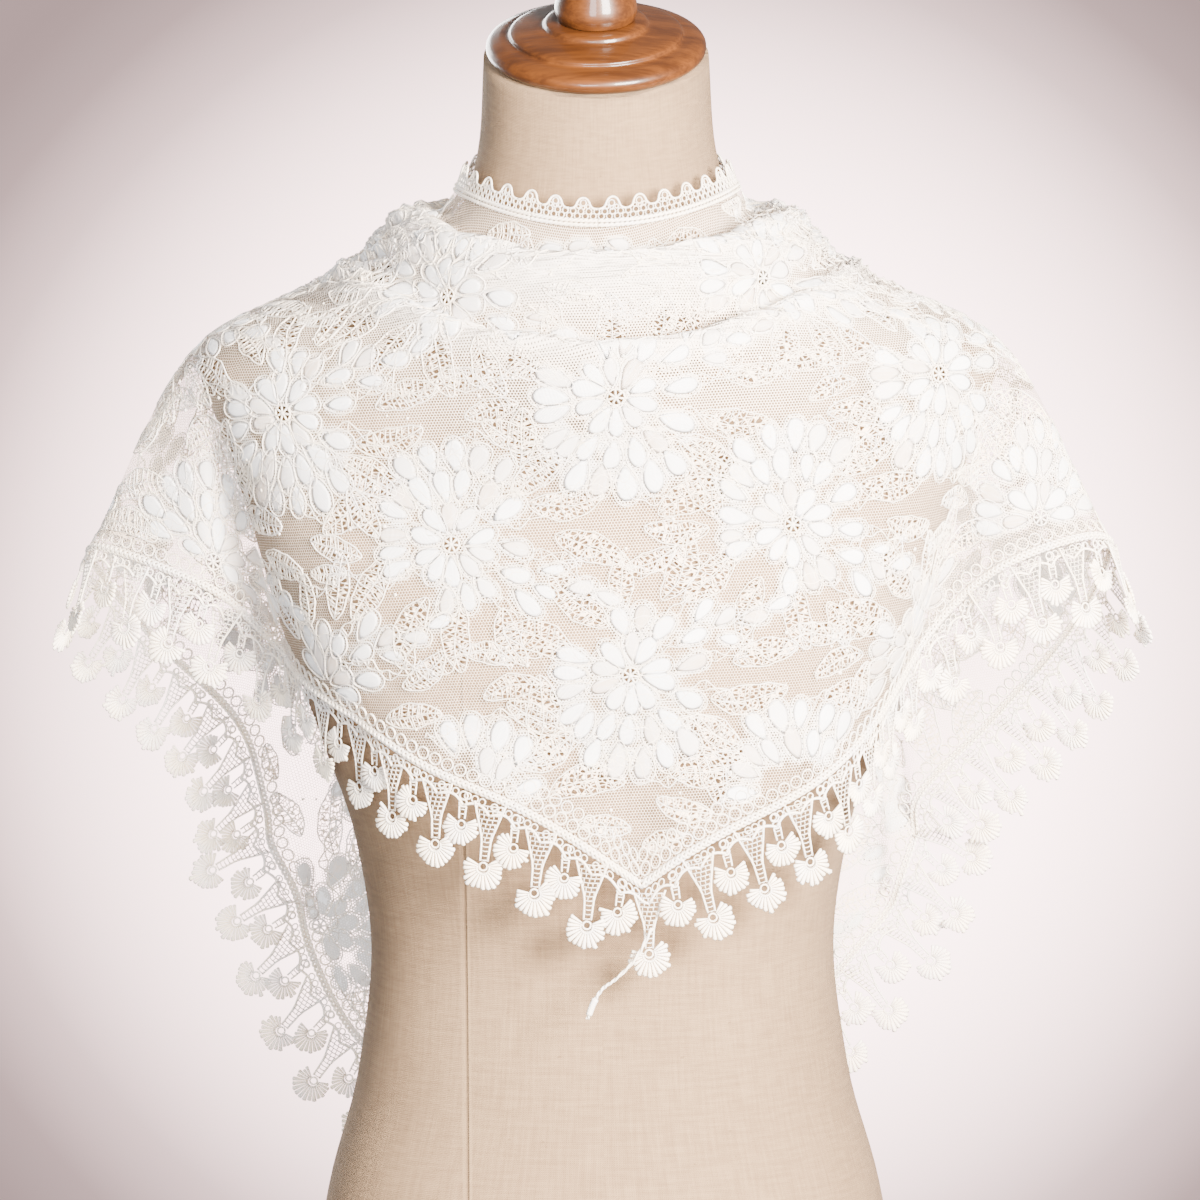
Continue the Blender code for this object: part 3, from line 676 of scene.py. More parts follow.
# Hexagonal net: a point is thread where it is far from the middle of the nearest mesh
def netFinish():
    look = Finish("laceNet")
    flat = look.layout("pattern")
    flatX, flatY, _ = look.parts(flat)
    x, y, tall, near = flatX / laceLook["meshSize"], flatY / laceLook["meshSize"], math.sqrt(3), []
    for shiftX, shiftY in ((0, 0), (0.5, tall / 2)):
        u = abs((x + shiftX) % 1.0 - 0.5)
        v = abs((y + shiftY) % tall - tall / 2)
        near.append(look.math("MAXIMUM", u, u * 0.5 + v * (tall / 2)))
    middle = look.math("MINIMUM", *near)
    gather, openness, bed, heart = (look.kept(name) for name in ("gather", "leaf", "bed", "heart"))
    edge = 0.5 - laceLook["meshThread"] / 2 + 0.03 - look.noise(look.place(), 350, 2) * 0.06
    edge = edge - gather * (laceLook["gatherThread"] / 2) - bed * (laceLook["bedThread"] / 2)
    cells = look.node("ShaderNodeTexVoronoi", {"feature": "DISTANCE_TO_EDGE"}, "Distance",
                      Vector=look.stretch(flat, laceLook["cells"]), Scale=1.0)
    inLeaf = openness > 0.08
    thread = (middle > edge) * (1.0 - inLeaf) + (cells < laceLook["cellThread"]) * inLeaf
    (stepX, stepY), hole, away = flower["spacing"], flower["heartHole"], []
    for firstX, firstY in (flower["upright"], flower["hanging"]):
        u = (flatX - (1 + firstX - stepX / 2)) % stepX - stepX / 2
        v = (flatY - (1 + firstY - stepY / 2)) % stepY - stepY / 2
        away.append(u * u + v * v)
    closed = look.math("MINIMUM", *away) > heart * (hole * hole)
    patchy = look.noise(look.place(), 25, 2)
    base = look.blend(patchy * 0.5, laceLook["ground"], colour(242, 226, 210))
    crinkle = look.noise(look.stretch(flat, (60.0, 420.0, 1.0)), 1.0, 2)
    folds = look.bump(crinkle * gather, 0.005, 0.9)
    dense = look.math("MAXIMUM", bed, gather * 0.8)
    look.give(Alpha=thread * closed, Base_Color=look.blend(dense, base, laceLook["dense"]),
              Normal=look.bump(middle, 0.0004, 0.5, Normal=folds), Roughness=patchy * 0.2 + 0.7,
              Specular_IOR_Level=0.25, Sheen_Weight=0.08)
    return look.made


# Satin stitch: threads run across each petal, and some petals are creamier
def petalFinish():
    look = Finish("lacePetal")
    tone, along, across = (look.kept(name) for name in ("tone", "along", "across"))
    uneven = look.noise(look.place(), 220, 3)
    streak = look.node("ShaderNodeCombineXYZ", _0=along * 90.0, _1=across * 1300.0, _2=tone * 40.0)
    streak = look.step(look.noise(streak, 1.0, 2), 0.42, 0.72)
    shade = look.blend(tone, laceLook["petal"], laceLook["cream"])
    shade = look.blend(streak * 0.5, shade, colour(229, 226, 230))
    stitch = look.math("SINE", along * (2 * math.pi / laceLook["stitch"]))
    look.give(Base_Color=look.blend(look.step(uneven, 0.4, 0.8) * 0.3, shade, colour(240, 230, 224)),
              Normal=look.bump(stitch + uneven * 2.0, 0.00012, 0.7),
              Roughness=uneven * 0.3 + 0.4, Sheen_Weight=0.15)
    letLightThrough(look)
    return look.made


laceNet, laceThread, lacePetal = netFinish(), threadFinish(), petalFinish()
lacePieces = []


# The net ground: an open grid over the whole cloth, with the pattern's flat layout as its UV map
def makeNet():
    bm = bmesh.new()
    bmesh.ops.create_grid(bm, x_segments=len(turns) - 1, y_segments=len(shares) - 1, size=1)
    mesh = bpy.data.meshes.new("laceGround")
    bm.to_mesh(mesh)
    bm.free()
    places = readValues(mesh.vertices, "co", 3)
    i, j = np.round((places[:, :2] + 1) / 2 * (len(turns) - 1, len(shares) - 1)).astype(int).T
    mesh.vertices.foreach_set("co", cloth[i, j].ravel())
    corners = readValues(mesh.loops, "vertex_index", kind=int)
    mesh.uv_layers.new(name="pattern").data.foreach_set("uv", (pattern[i, j] + 1)[corners].ravel())
    made = placePiece("lace_ground", mesh, laceNet)
    facing, middle = (readValues(mesh.polygons, name, 3) for name in ("normal", "center"))
    if (facing * middle)[:, :2].sum() < 0:
        mesh.flip_normals()
    keepValues(made, "gather", [gathered[i, j]])
    return made, (i, j)


net, netPlaces = makeNet()
netPattern = pattern[netPlaces]


# Centres of the flowers that lie on the cloth, and which way their fans point
def flowerPlaces():
    (stepX, stepY), found = flower["spacing"], []
    for (firstX, firstY), side in ((flower["upright"], -1), (flower["hanging"], 1)):
        found += [(firstX + i * stepX, firstY + j * stepY, side) for i in range(-6, 6) for j in range(-1, 4)]
    found = np.array(found)
    _, _, miss = findOnCloth(found[:, :2])
    return found[miss < 0.03]


# Rows of one motif repeated at every flower: x, y, direction, length and width on the flat pattern
def atFlowers(places, rows, jitter=(0.0006, 5.0, 0.06)):
    x, y, direction, length, width = np.array(rows, float).T
    count = (len(places), len(rows))
    shift, turn, size = jitter
    firstX, firstY, side = places.T[..., None]
    x = firstX + x * 0.001 + draw.normal(0, shift, count)
    y = firstY + side * y * 0.001 + draw.normal(0, shift, count)
    direction = side * np.radians(direction + draw.normal(0, turn, count))
    scale = 1 + draw.normal(0, size, count)
    made = np.stack((x, y, direction, length * 0.001 * scale, width * 0.001 * scale), -1).reshape(-1, 5)
    _, _, miss = findOnCloth(made[:, :2], *flower["margins"])
    return made[miss < 0.0008]


# Points given along and across a motif, laid on the cloth at a height
def layMotif(motifs, along, across, height):
    cos, sin = np.cos(motifs[:, 2])[:, None], np.sin(motifs[:, 2])[:, None]
    points = motifs[:, None, :2] + np.stack((cos * along - sin * across, sin * along + cos * across), -1)
    turn, share, _ = findOnCloth(points)
    return raised(turn, share, height)


# The same rows for petals given by direction and distance from the flower's middle
def polarRows(rows):
    made = []
    for _, count, first, step, distance, length, width in rows:
        for direction in first + np.arange(count) * step:
            angle = math.radians(direction)
            made.append((distance * math.cos(angle), distance * math.sin(angle), direction, length, width))
    return made


beds = flowerPlaces()
print("flowers", len(beds))
petals = atFlowers(beds, polarRows(flower["petals"]) + list(flower["trail"]))
bead, outline = beadShape(14, 4), loopShape(16, 3)
phases = draw.uniform(0, 2 * math.pi, (len(petals), 1))


# Rounded at the outer end, narrow at the heart, and a little uneven
def petalOutline(x, y, length, width):
    angles = np.arctan2(y, x)
    uneven = 1 + 0.035 * np.sin(2 * angles + phases) + 0.03 * np.sin(3 * angles + 2 * phases)
    taper = 1.0 - 0.08 * (1 - x) / 2 - 0.38 * np.maximum(0, -x) ** 1.5
    return (x + 0.17 * (1 - x * x)) * length / 2 * uneven, y * width / 2 * taper * uneven


def makePetals():
    x, y, z = bead[1].T
    fill = draw.uniform(0.84, 0.98, (len(petals), 1))
    length, width = petals[:, 3:4] * fill, petals[:, 4:5] * fill * draw.uniform(0.9, 1.0, fill.shape)
    along, across = petalOutline(x, y, length, width)
    places, _ = layMotif(petals, along, across, flower["lift"] + z * flower["thick"] + 0 * along)
    piece = newPiece("lace_petals", [(bead, places)], lacePetal)
    creamy = draw.random(len(petals)) < flower["creamShare"]
    tone = np.where(creamy, draw.uniform(0.4, 1.0, len(petals)), draw.uniform(0.0, 0.25, len(petals)))
    keepValues(piece, "tone", [np.repeat(tone[:, None], len(x), 1)])
    keepValues(piece, "along", [along + 0.05])
    keepValues(piece, "across", [across + phases])
    return piece


# The net's points seen from a motif, along and across it
def seenFrom(x, y, direction):
    away = netPattern - (x, y)
    cos, sin = math.cos(direction), math.sin(direction)
    return away[:, 0] * cos + away[:, 1] * sin, away[:, 1] * cos - away[:, 0] * sin


# The ground is denser close to the petals
def layBed():
    bed = np.zeros(len(netPattern))
    for x, y, direction, length, width in petals:
        u, v = seenFrom(x, y, direction)
        reach = (2 * u / (length + 0.001)) ** 2 + (2 * v / (width + 0.001)) ** 2
        bed = np.maximum(bed, np.clip(1.6 * (1.3 - reach), 0, 1))
    keepValues(net, "bed", [bed])


def makeOutlines():
    along, across = petalOutline(*circle(16), petals[:, 3:4] + 0.0018, petals[:, 4:5] + 0.0016)
    paths = layMotif(petals, along + 0.0003, across, flower["lift"] + 0 * along)
    return newPiece("lace_outlines", [follow(outline, paths, "outline", True)], laceThread)


# A ring, seven spokes and a knot in the hole at the middle of each flower
def makeHearts():
    _, _, miss = findOnCloth(beds[:, :2], 0.006, 0.015)
    hearts = np.pad(beds[miss < 0.0008, :2], ((0, 0), (0, 3)))
    away = np.min([np.linalg.norm(netPattern - heart[:2], axis=1) for heart in hearts], 0)
    keepValues(net, "heart", [np.clip((0.014 - away) / 0.003, 0, 1)])
    cos, sin = circle(16)
    ring = np.full((len(hearts), 1), flower["heartHole"] + 0.0003)
    batches = [follow(outline, layMotif(hearts, ring * cos, ring * sin, 0.0003), "heartRing", True)]
    spoke, reach = tubeShape(3, 4), np.tile((0.0006, 0.0022, 0.0042), (len(hearts), 1))
    for angle in np.arange(7) * math.pi / 3.5 + 0.2:
        paths = layMotif(hearts, reach * math.cos(angle), reach * math.sin(angle), 0.0003)
        batches.append(follow(spoke, paths, "heartSpoke"))
    x, y, z = bead[1].T
    places, _ = layMotif(hearts, x * 0.0014 + 0 * ring, y * 0.0014 + 0 * ring, 0.0004 + z * 0.0006 + 0 * ring)
    return newPiece("lace_hearts", batches + [(bead, places)], laceThread)


# Leaves bend a little, and their cells are uneven; the net is open inside them
def makeLeaves():
    leaves = atFlowers(beds, flower["leaves"], (0.0012, 8.0, 0.10))
    count = len(leaves)
    bend = draw.uniform(-1, 1, (count, 1)) * flower["leafBend"]
    inside = np.full(len(netPattern), -1.0)
    for (x, y, direction, length, width), (curve,) in zip(leaves, bend):
        u, v = seenFrom(x, y, direction)
        u = u * 2 / length
        v = (v - curve * length * (u ** 2 - 0.3)) * 2 / width
        inside = np.maximum(inside, 1 - u ** 2 - (v / np.maximum(1 - 0.3 * u ** 2, 0.3)) ** 2)
    keepValues(net, "leaf", [inside - 1.5 * gathered[netPlaces]])
    rim, vein, bar, knot = loopShape(24, 3), tubeShape(9, 3), tubeShape(2, 3), beadShape(7, 3)
    length, width = leaves[:, 3:4], leaves[:, 4:5]

    # Places along the leaf from -1 to 1 and across it in metres
    def layLeaf(u, across, height=flower["lift"]):
        u, across = np.broadcast_arrays(u, across + 0 * length)
        return layMotif(leaves, u * length / 2, across + bend * length * (u ** 2 - 0.3), height + 0 * across)

    x, y = circle(24)
    phases = draw.uniform(0, 2 * math.pi, (count, 1))
    across = y * width / 2 * (1 - 0.3 * x ** 2) * (1 + 0.07 * np.sin(8 * evenAngles(24) + phases))
    outer = [follow(rim, layLeaf(x, across), "leafRim", True)]
    t = np.linspace(-0.98, 0.98, 9)
    laid = layLeaf(t, 0.05 * width * np.sin(3 * t + phases))
    outer.append(follow(vein, laid, "leafVein"))
    bars, s = [], np.array((0.0, 0.97))
    for k in np.arange(-0.84, 0.87, 0.17):
        room = math.sqrt(1 - k * k) * (1 - 0.3 * k * k)
        for side in (-1, 1):
            shift = k + draw.normal(0, 0.025, (count, 1))
            slant = draw.uniform(0.06, 0.16, (count, 1))
            bars.append(layLeaf(shift + s * slant, side * s * room * width / 2, 0.0002))
    cells = follow(bar, np.concatenate(bars, axis=1), "leafBar")
    print("leaves", count)
    knots = leaves[:, None, :2] + draw.normal(0, 0.006, (count, 2, 2))
    knots = np.pad(knots.reshape(-1, 2), ((0, 0), (0, 3)))
    x, y, z = knot[1].T
    size = draw.uniform(0.0007, 0.0012, (2 * count, 1))
    places, _ = layMotif(knots, x * size, y * size, 0.0003 + z * 0.0005 + 0 * size)
    made = newPiece("lace_leaves", outer + [(knot, places)], laceThread)
    return made, newPiece("lace_cells", [cells], laceThread)


# Scalloped cords that wander between the flowers, each with a fine one beside it and rungs between the two
def makeVines():
    vine, rung, batches = tubeShape(25, 3), tubeShape(2, 3), []
    turned = np.stack((np.ones(len(beds)), beds[:, 2]), -1)[:, None]
    t = np.linspace(0, 1, 25)
    for knots in flower["vines"]:
        knots = np.array(knots, float) * 0.001
        path = smoothRows(knots, t * (len(knots) - 1))
        away = unit(np.gradient(path, axis=0))[:, ::-1] * (-1, 1)
        moved = draw.normal(0, 0.001, (len(beds), 1, 2))
        pair = []
        for shift, wave, _ in flower["cords"]:
            at = path + away * (shift + wave * np.sin(t * 10 * math.pi))[:, None]
            pair.append(beds[:, None, :2] + at * turned + moved)
        turn, share, miss = findOnCloth(np.concatenate(pair, 1))
        kept = (miss < 0.0005).all(1)
        laid = raised(turn[kept], share[kept], flower["lift"])
        for k, (_, _, thread) in enumerate(flower["cords"]):
            batches.append(follow(vine, (part[:, k * 25:k * 25 + 25] for part in laid), thread))
        ends = (np.stack((part[:, :25:2], part[:, 25::2]), 2).reshape(-1, 2, 3) for part in laid)
        batches.append(follow(rung, ends, "vineRung"))
    return newPiece("lace_vines", batches, laceThread)


layBed()
lacePieces += [makePetals(), makeOutlines(), makeHearts(), *makeLeaves(), makeVines()]

border = {
    "inner": 0.0057,              # from the cord in to the middle of the row of rings
    "innermost": 0.0119,          # to the middle of the second row, which is near the point only
    "nearPoint": 0.075,
    "ringPitch": 0.0067,
    "ringRadius": 0.0029,
    "braidPeriod": 0.0084,
    "outer": 0.0045,              # from the cord out to the small rings below the arches
    "smallRadius": 0.0016,
    "smallShifts": (-0.27, 0.0, 0.27),
    "firstDrop": -60,
    "lastDrop": 57,
    "dropShift": 0.2,             # of each drop along the hem, in pitches
    "dropRoot": 0.0095,           # distance of a drop's root from the cord
    "gap": 0.0008,
    "lowest": 0.004,
}


def hemStation(station):
    return station / np.where(station < 0, pitches[0], pitches[1])


# The border's frame on every second drop, as in the solids: outward across the hem, and the cloth's normal
def borderFrame():
    stations = np.arange(-pitches[0], pitches[1] + 1, 2)
    rows, standOut = veilColumns(hemStation(stations), np.array((47 / 6, 8.0)))
    hem, down = rows[:, 1], unit(rows[:, 1] - rows[:, 0])

    def directions(points):
        steps = unit(np.diff(points, axis=0))
        return unit(np.concatenate((steps[:1], steps)) + np.concatenate((steps, steps[-1:])))

    along = directions(hem)
    outward = unit(down - (down * along).sum(1, keepdims=True) * along)
    normals = unit(np.cross(down, along))
    for way in (outward, normals):
        way[1:-1] = unit(way[:-2] + 2 * way[1:-1] + way[2:])
    middle = pitches[0] // 2
    for i, j in ((0, 1), (middle, middle + 1), (len(hem) - 1, len(hem) - 2)):
        edge = unit(hem[j] - hem[i])
        outward[i] = down[i] / math.sqrt(1 - float(down[i] @ edge) ** 2)
    return stations, outward, normals, standOut


frameStations, frameOutward, frameNormals, frameStandOut = borderFrame()


def frameAt(station):
    ways = []
    for values in (frameOutward, frameNormals):
        ways.append(between(station, frameStations, values))
    return ways[0], unit(ways[1]), np.interp(station, frameStations, frameStandOut)


# Holds points clear of the form and of the floor
def heldClear(points):
    points = clearOfForm(points, border["gap"])
    points[..., 2] = np.maximum(points[..., 2], border["lowest"])
    return points


# Places on the border by station along the hem, distance out from the cord and height over the cloth
def bandPoint(station, distance, height=0.0):
    outward, normals, _ = frameAt(station)
    hem = onGrid(cloth, hemStation(station), np.ones_like(station))
    points = hem + outward * np.asarray(distance)[..., None] + normals * np.asarray(height)[..., None]
    return heldClear(points), normals


pitchLength = np.array(edgeLengths) / pitches


# Rings centred at stations on the border, some distance out from its cord
def bandRings(ring, stations, distance, radius, thread):
    cos, sin = circle(10)
    around = stations[:, None] + radius * cos / np.where(stations < 0, *pitchLength)[:, None]
    return follow(ring, bandPoint(around, distance + radius * sin, 0.0002), thread, True)


def makeBand():
    ring, batches, radius = loopShape(10, 3), [], border["ringRadius"]
    for side, length, pitch, count in zip((-1, 1), edgeLengths, pitchLength, pitches):
        places = np.arange(border["ringPitch"] / 2, length - 0.004, border["ringPitch"]) / pitch * side
        near = places[abs(places) * pitch < border["nearPoint"]]
        batches.append(bandRings(ring, places, -border["inner"], radius, "borderRing"))
        batches.append(bandRings(ring, near, -border["innermost"], radius, "innerRing"))
        for shift in border["smallShifts"]:
            small = (np.arange(count) + 0.5) * side + shift
            batches.append(bandRings(ring, small, border["outer"], border["smallRadius"], "smallRing"))
    return newPiece("lace_border_rings", batches, laceThread)


# A long strand is laid in pieces that share their end rings: the count of its places, and each piece's rows
def strandRows(length, step, chunk):
    count = int(round(length / step / (chunk - 1)))
    return count * (chunk - 1) + 1, np.arange(count)[:, None] * (chunk - 1) + np.arange(chunk)


# Three strands that pass over and under each other along the cord, and the arches that the drops hang from
def makeBraid():
    chunk, period = 41, border["braidPeriod"]
    strand, batches = tubeShape(chunk, 4), []
    for side, length, pitch in zip((-1, 1), edgeLengths, pitchLength):
        places, rows = strandRows(length, period / 9, chunk)
        along = np.linspace(0, length, places)
        for k in range(3):
            phase = along / period * 2 * math.pi + k * 2 * math.pi / 3
            height = 0.0005 + 0.0007 * np.cos(2 * phase)
            laid = bandPoint(along / pitch * side, 0.0016 * np.sin(phase), height)
            batches.append(follow(strand, (part[rows] for part in laid), "braid"))
    arch, s = tubeShape(9, 4), np.linspace(0, 1, 9)
    stations = (np.arange(border["firstDrop"], border["lastDrop"] + 1) + border["dropShift"])[:, None] + s
    laid = bandPoint(stations, border["dropRoot"] - 0.0033 * np.sin(math.pi * s), 0.0002)
    batches.append(follow(arch, laid, "borderArch"))
    return newPiece("lace_border_braid", batches, laceThread)


drop = {
    "swing": 6.0,                 # degrees that a drop may hang off its line
    "twist": 32.0,                # degrees that a head may turn on its stem
    "stemEnd": (0.021, 0.006),    # long and short
    # distance below the band and half the width of a long drop, down to the stem's end
    "net": ((-0.0066, 0.0078), (0.011, 0.0023), (0.021, 0.0018)),
    "rungs": (-0.0050, 0.0215),
    "rungPitch": 0.0022,
    "mesh": 0.0024,               # width of the net's meshes, which end above the stem
    "netEnd": 0.018,
    "shortRungs": (0.0022, 0.0044),
    "shortHalf": 0.0016,
    "shortRings": ((-0.0046, 0.0021), (-0.0010, 0.0019)),
    "headDepth": 0.004,           # from the stem's end to the middle of the fan
    "ribs": 17,
    "fanReach": (0.0078, 0.0036),
    "fanAngle": 116.0,
    "ribStart": 0.0024,
    "ribWidth": 0.87,             # as a share of the room between ribs
    "ribHeight": 0.0010,
    "shortSize": 0.93,
}


# What hangs from the border: net triangles, ladder stems and fans of ribs, long and short by turns
def makeDrops():
    stations = np.arange(border["firstDrop"], border["lastDrop"] + 1)
    total, long, at = len(stations), stations % 2 == 0, stations + border["dropShift"]
    roots, upright = bandPoint(at, border["dropRoot"])
    outward, _, standOut = frameAt(at)
    ways = unit(outward * standOut[:, None] + np.array((0, 0, -1.0)) * (1 - standOut[:, None]))
    width = unit(np.cross(upright, ways))
    across = bandPoint(at + 0.1, border["dropRoot"])[0] - roots
    width *= np.where((width * across).sum(1) > 0, 1, -1)[:, None]
    swing = np.radians(draw.normal(0, drop["swing"] / 2, total))[:, None]
    cos, sin = np.cos(swing), np.sin(swing)
    ways, width = ways * cos + width * sin, width * cos - ways * sin
    normals = unit(np.cross(width, ways))
    normals *= np.where((normals * upright).sum(1) > 0, 1, -1)[:, None]

    # Points of the chosen drops by places across, along and over them
    def hang(chosen, u, d, h=0.0):
        u, d, h = (part[..., None] for part in np.broadcast_arrays(u, d, h))
        root, across, along, over = (part[chosen][:, None] for part in (roots, width, ways, normals))
        points = heldClear(root + across * u + along * d + over * h)
        return points, np.broadcast_to(over, points.shape)

    cord, rung, link, ring = tubeShape(10, 4), tubeShape(3, 3), tubeShape(2, 3), loopShape(10, 4)
    ladders, heads, t = [], [], np.linspace(0, 1, 10)
    longs, shorts = np.nonzero(long)[0], np.nonzero(~long)[0]
    depths, halves = zip(*drop["net"])
    spread, top, (longEnd, shortEnd) = np.array((-1, 0, 1)), depths[0], drop["stemEnd"]

    def lay(shape, chosen, u, d, thread):
        u = np.broadcast_to(u, (len(chosen),) + np.shape(u)[-1:])
        ladders.append(follow(shape, hang(chosen, u, d), thread))

    for side in (-1, 1):
        d = top + t * (longEnd + 0.0076)
        lay(cord, longs, side * np.interp(d, depths, halves), d, "longCord")
        lay(cord, shorts, side * (0.0017 - 0.0003 * t), 0.0006 + t * shortEnd, "shortCord")
    for row, d in enumerate(np.arange(*drop["rungs"], drop["rungPitch"])):
        wide = float(np.interp(d, depths, halves))
        lay(rung, longs, spread * wide, d + np.array((0, 0.0003, 0)), "rung")
        count = max(1, int(round(2 * wide / drop["mesh"])))
        if d > drop["netEnd"] or wide <= drop["mesh"]:
            continue
        for k in range(count):
            u = (k + 0.5 + 0.25 * (row % 2)) / count * 2 * wide - wide
            if abs(u) < wide - 0.0003:
                lay(link, longs, np.array((u, u)), d + np.array((0, drop["rungPitch"])), "link")
    for d in drop["shortRungs"]:
        lay(rung, shorts, spread * drop["shortHalf"], d + np.zeros(3), "rung")
    ringX, ringY = circle(10)
    for d, radius in drop["shortRings"]:
        laid = hang(shorts, ringX * radius + np.zeros((len(shorts), 1)), d + ringY * radius)
        ladders.append(follow(ring, laid, "dropRing", True))
    size = np.where(long, 1.0, drop["shortSize"])[:, None]
    stem = np.where(long, longEnd, shortEnd)[:, None] + drop["headDepth"] * size
    twist = np.radians(np.clip(draw.normal(0, drop["twist"] / 2, total), -35, 35))[:, None]
    cos, sin = np.cos(twist), np.sin(twist)

    # Points of the fans by distance and direction from their middles
    def fan(u, v, h=0.0):
        u, v = u * size, v * size
        return hang(np.arange(total), u * cos - v * sin, stem + u * sin + v * cos, h)

    rib, last = beadShape(8, 4), drop["ribs"] - 1
    x, y, z = rib[1].T
    widest, side = math.radians(drop["fanAngle"]), y / np.maximum(np.hypot(y, z), 0.01)
    for k in range(drop["ribs"]):
        phi = -widest + 2 * widest * k / last
        cosPhi, sinPhi = math.cos(phi), math.sin(phi)
        reach = drop["fanReach"][0] + drop["fanReach"][1] * (0.5 + 0.5 * cosPhi)
        reach = reach * (1 + draw.normal(0, 0.06, (total, 1)))
        along = (drop["ribStart"] + reach) / 2 + (reach - drop["ribStart"]) / 2 * np.sin(x * math.pi / 2)
        across = side * math.tan(widest / last) * along * drop["ribWidth"]
        u, v = along * sinPhi + across * cosPhi, along * cosPhi - across * sinPhi
        heads.append((rib, fan(u, v, z * drop["ribHeight"])[0]))
    heads.append(follow(ring, fan(0.0020 * ringX, 0.0020 * ringY - 0.0003), "fanRing", True))
    s = 2.0 * np.linspace(-1, 1, 12)
    bow = fan(0.0031 * np.sin(s), 0.0004 + 0.0031 * np.cos(s), 0.0005)
    heads.append(follow(tubeShape(12, 4), bow, "fanBow"))
    return newPiece("lace_drop_stems", ladders, laceThread), newPiece("lace_drop_fans", heads, laceThread)


bandRow, braid = makeBand(), makeBraid()
lacePieces += [bandRow, braid, *makeDrops()]

edging = {
    "pitch": 0.0143,
    "lean": 0.38,
    "napeStart": 0.004,
    "strands": (0.0012, 0.0034),
    "strandPeriod": 0.005,
    "strandStep": 0.0011,
    "ringRows": (0.0056, 0.0080),
    "ringRadius": 0.0015,
    "ringPitch": 0.0040,
    # half an arch: sideways as a share of the pitch, distance
    "arch": ((0.5, 0.0093), (0.40, 0.0094), (0.31, 0.0100), (0.245, 0.0114), (0.20, 0.0131), (0.115, 0.0146),
             (0.0, 0.0151)),
    # sideways as a share of the pitch, distance, radius
    "cells": ((0.0, 0.0122, 0.0016), (-0.17, 0.0104, 0.0010), (0.17, 0.0104, 0.0010), (0.0, 0.0099, 0.0009)),
}


# Scalloped edging along a path: cords, rows of rings, and arches with three picots each
def edgingBatches(path, ways, normals, start):
    lengths, batches, chunk = lengthsAlong(path), [], 31
    room = lengths[-1] - start
    count = int(room / edging["pitch"])
    pitch = room / count
    strand, ring, (cos, sin) = tubeShape(chunk, 4), loopShape(8, 3), circle(8)

    def edgePoint(along, distance, height=0.0002):
        along, distance, height = np.broadcast_arrays(along, distance, height)
        base, way, normal = (between(along, lengths, values) for values in (path, ways, normals))
        normal = unit(normal)
        return base + unit(way) * distance[..., None] + normal * height[..., None], normal

    def layRings(middles, distance, radius, thread):
        laid = edgePoint(middles + radius * cos, distance + radius * sin)
        batches.append(follow(ring, laid, thread, True))

    places, rows = strandRows(room, edging["strandStep"], chunk)
    along = np.linspace(start, lengths[-1], places)
    for distance in edging["strands"]:
        for turn in (0, math.pi):
            phase = along / edging["strandPeriod"] * 2 * math.pi + turn
            laid = edgePoint(along, distance + 0.0005 * np.sin(phase), 0.0003 + 0.0004 * np.cos(phase))
            batches.append(follow(strand, (part[rows] for part in laid), "edgingCord"))
    for row, distance in enumerate(edging["ringRows"]):
        middles = np.arange(start + (1 + row) * 0.0018, lengths[-1] - 0.0012, edging["ringPitch"])
        layRings(middles[:, None], distance, edging["ringRadius"], "edgingRing")
    middles = start + (np.arange(count)[:, None] + 0.5) * pitch
    half = np.array(edging["arch"])
    knots = np.concatenate((half * (-1, 1), half[-2::-1])) * (pitch, 1)
    sideways, rise = smoothRows(knots, np.linspace(0, len(knots) - 1, 17)).T
    bow = 1 - (2 * sideways / pitch) ** 2
    lean = draw.normal(0, 0.0006, (count, 1)) * bow
    size = 1 + draw.normal(0, 0.03, (count, 1)) * bow
    laid = edgePoint(middles + sideways + lean, rise * size)
    batches.append(follow(tubeShape(17, 4), laid, "edgingArch"))
    for shift, distance, radius in edging["cells"]:
        layRings(middles + shift * pitch, distance, radius, "picot")
    return batches


def makeEdging():
    radial, lean = unit(cloth[:, 0] * (1, 1, 0)), edging["lean"]
    batches = edgingBatches(cloth[:, 0], -radial * lean + (0, 0, 1), radial + (0, 0, lean), 0.0)
    atNeck = newPiece("lace_neck_edging", batches, laceThread)
    backs = []
    for column, side in ((0, -1), (-1, 1)):
        outwards = np.broadcast_to((-side, 0.0, 0.0), cloth[column].shape)
        facing = unit(clothNormals[column] * (0, 1, 1))
        facing = facing * np.where(facing[:, 1:2] < 0, -1, 1)
        backs += edgingBatches(cloth[column], outwards, facing, edging["napeStart"])
    return atNeck, newPiece("lace_back_edging", backs, laceThread)


neckEdging, backEdging = makeEdging()
lacePieces += [neckEdging, backEdging]

looseThread = {
    "knots": ((0.024, -0.118, 0.277), (0.016, -0.1178, 0.262), (0.006, -0.1172, 0.2515),
              (0.0, -0.1168, 0.247), (-0.0045, -0.1165, 0.240), (-0.0075, -0.1162, 0.232)),
    "gap": 0.0012,
    "wrapped": (30, 39),
}


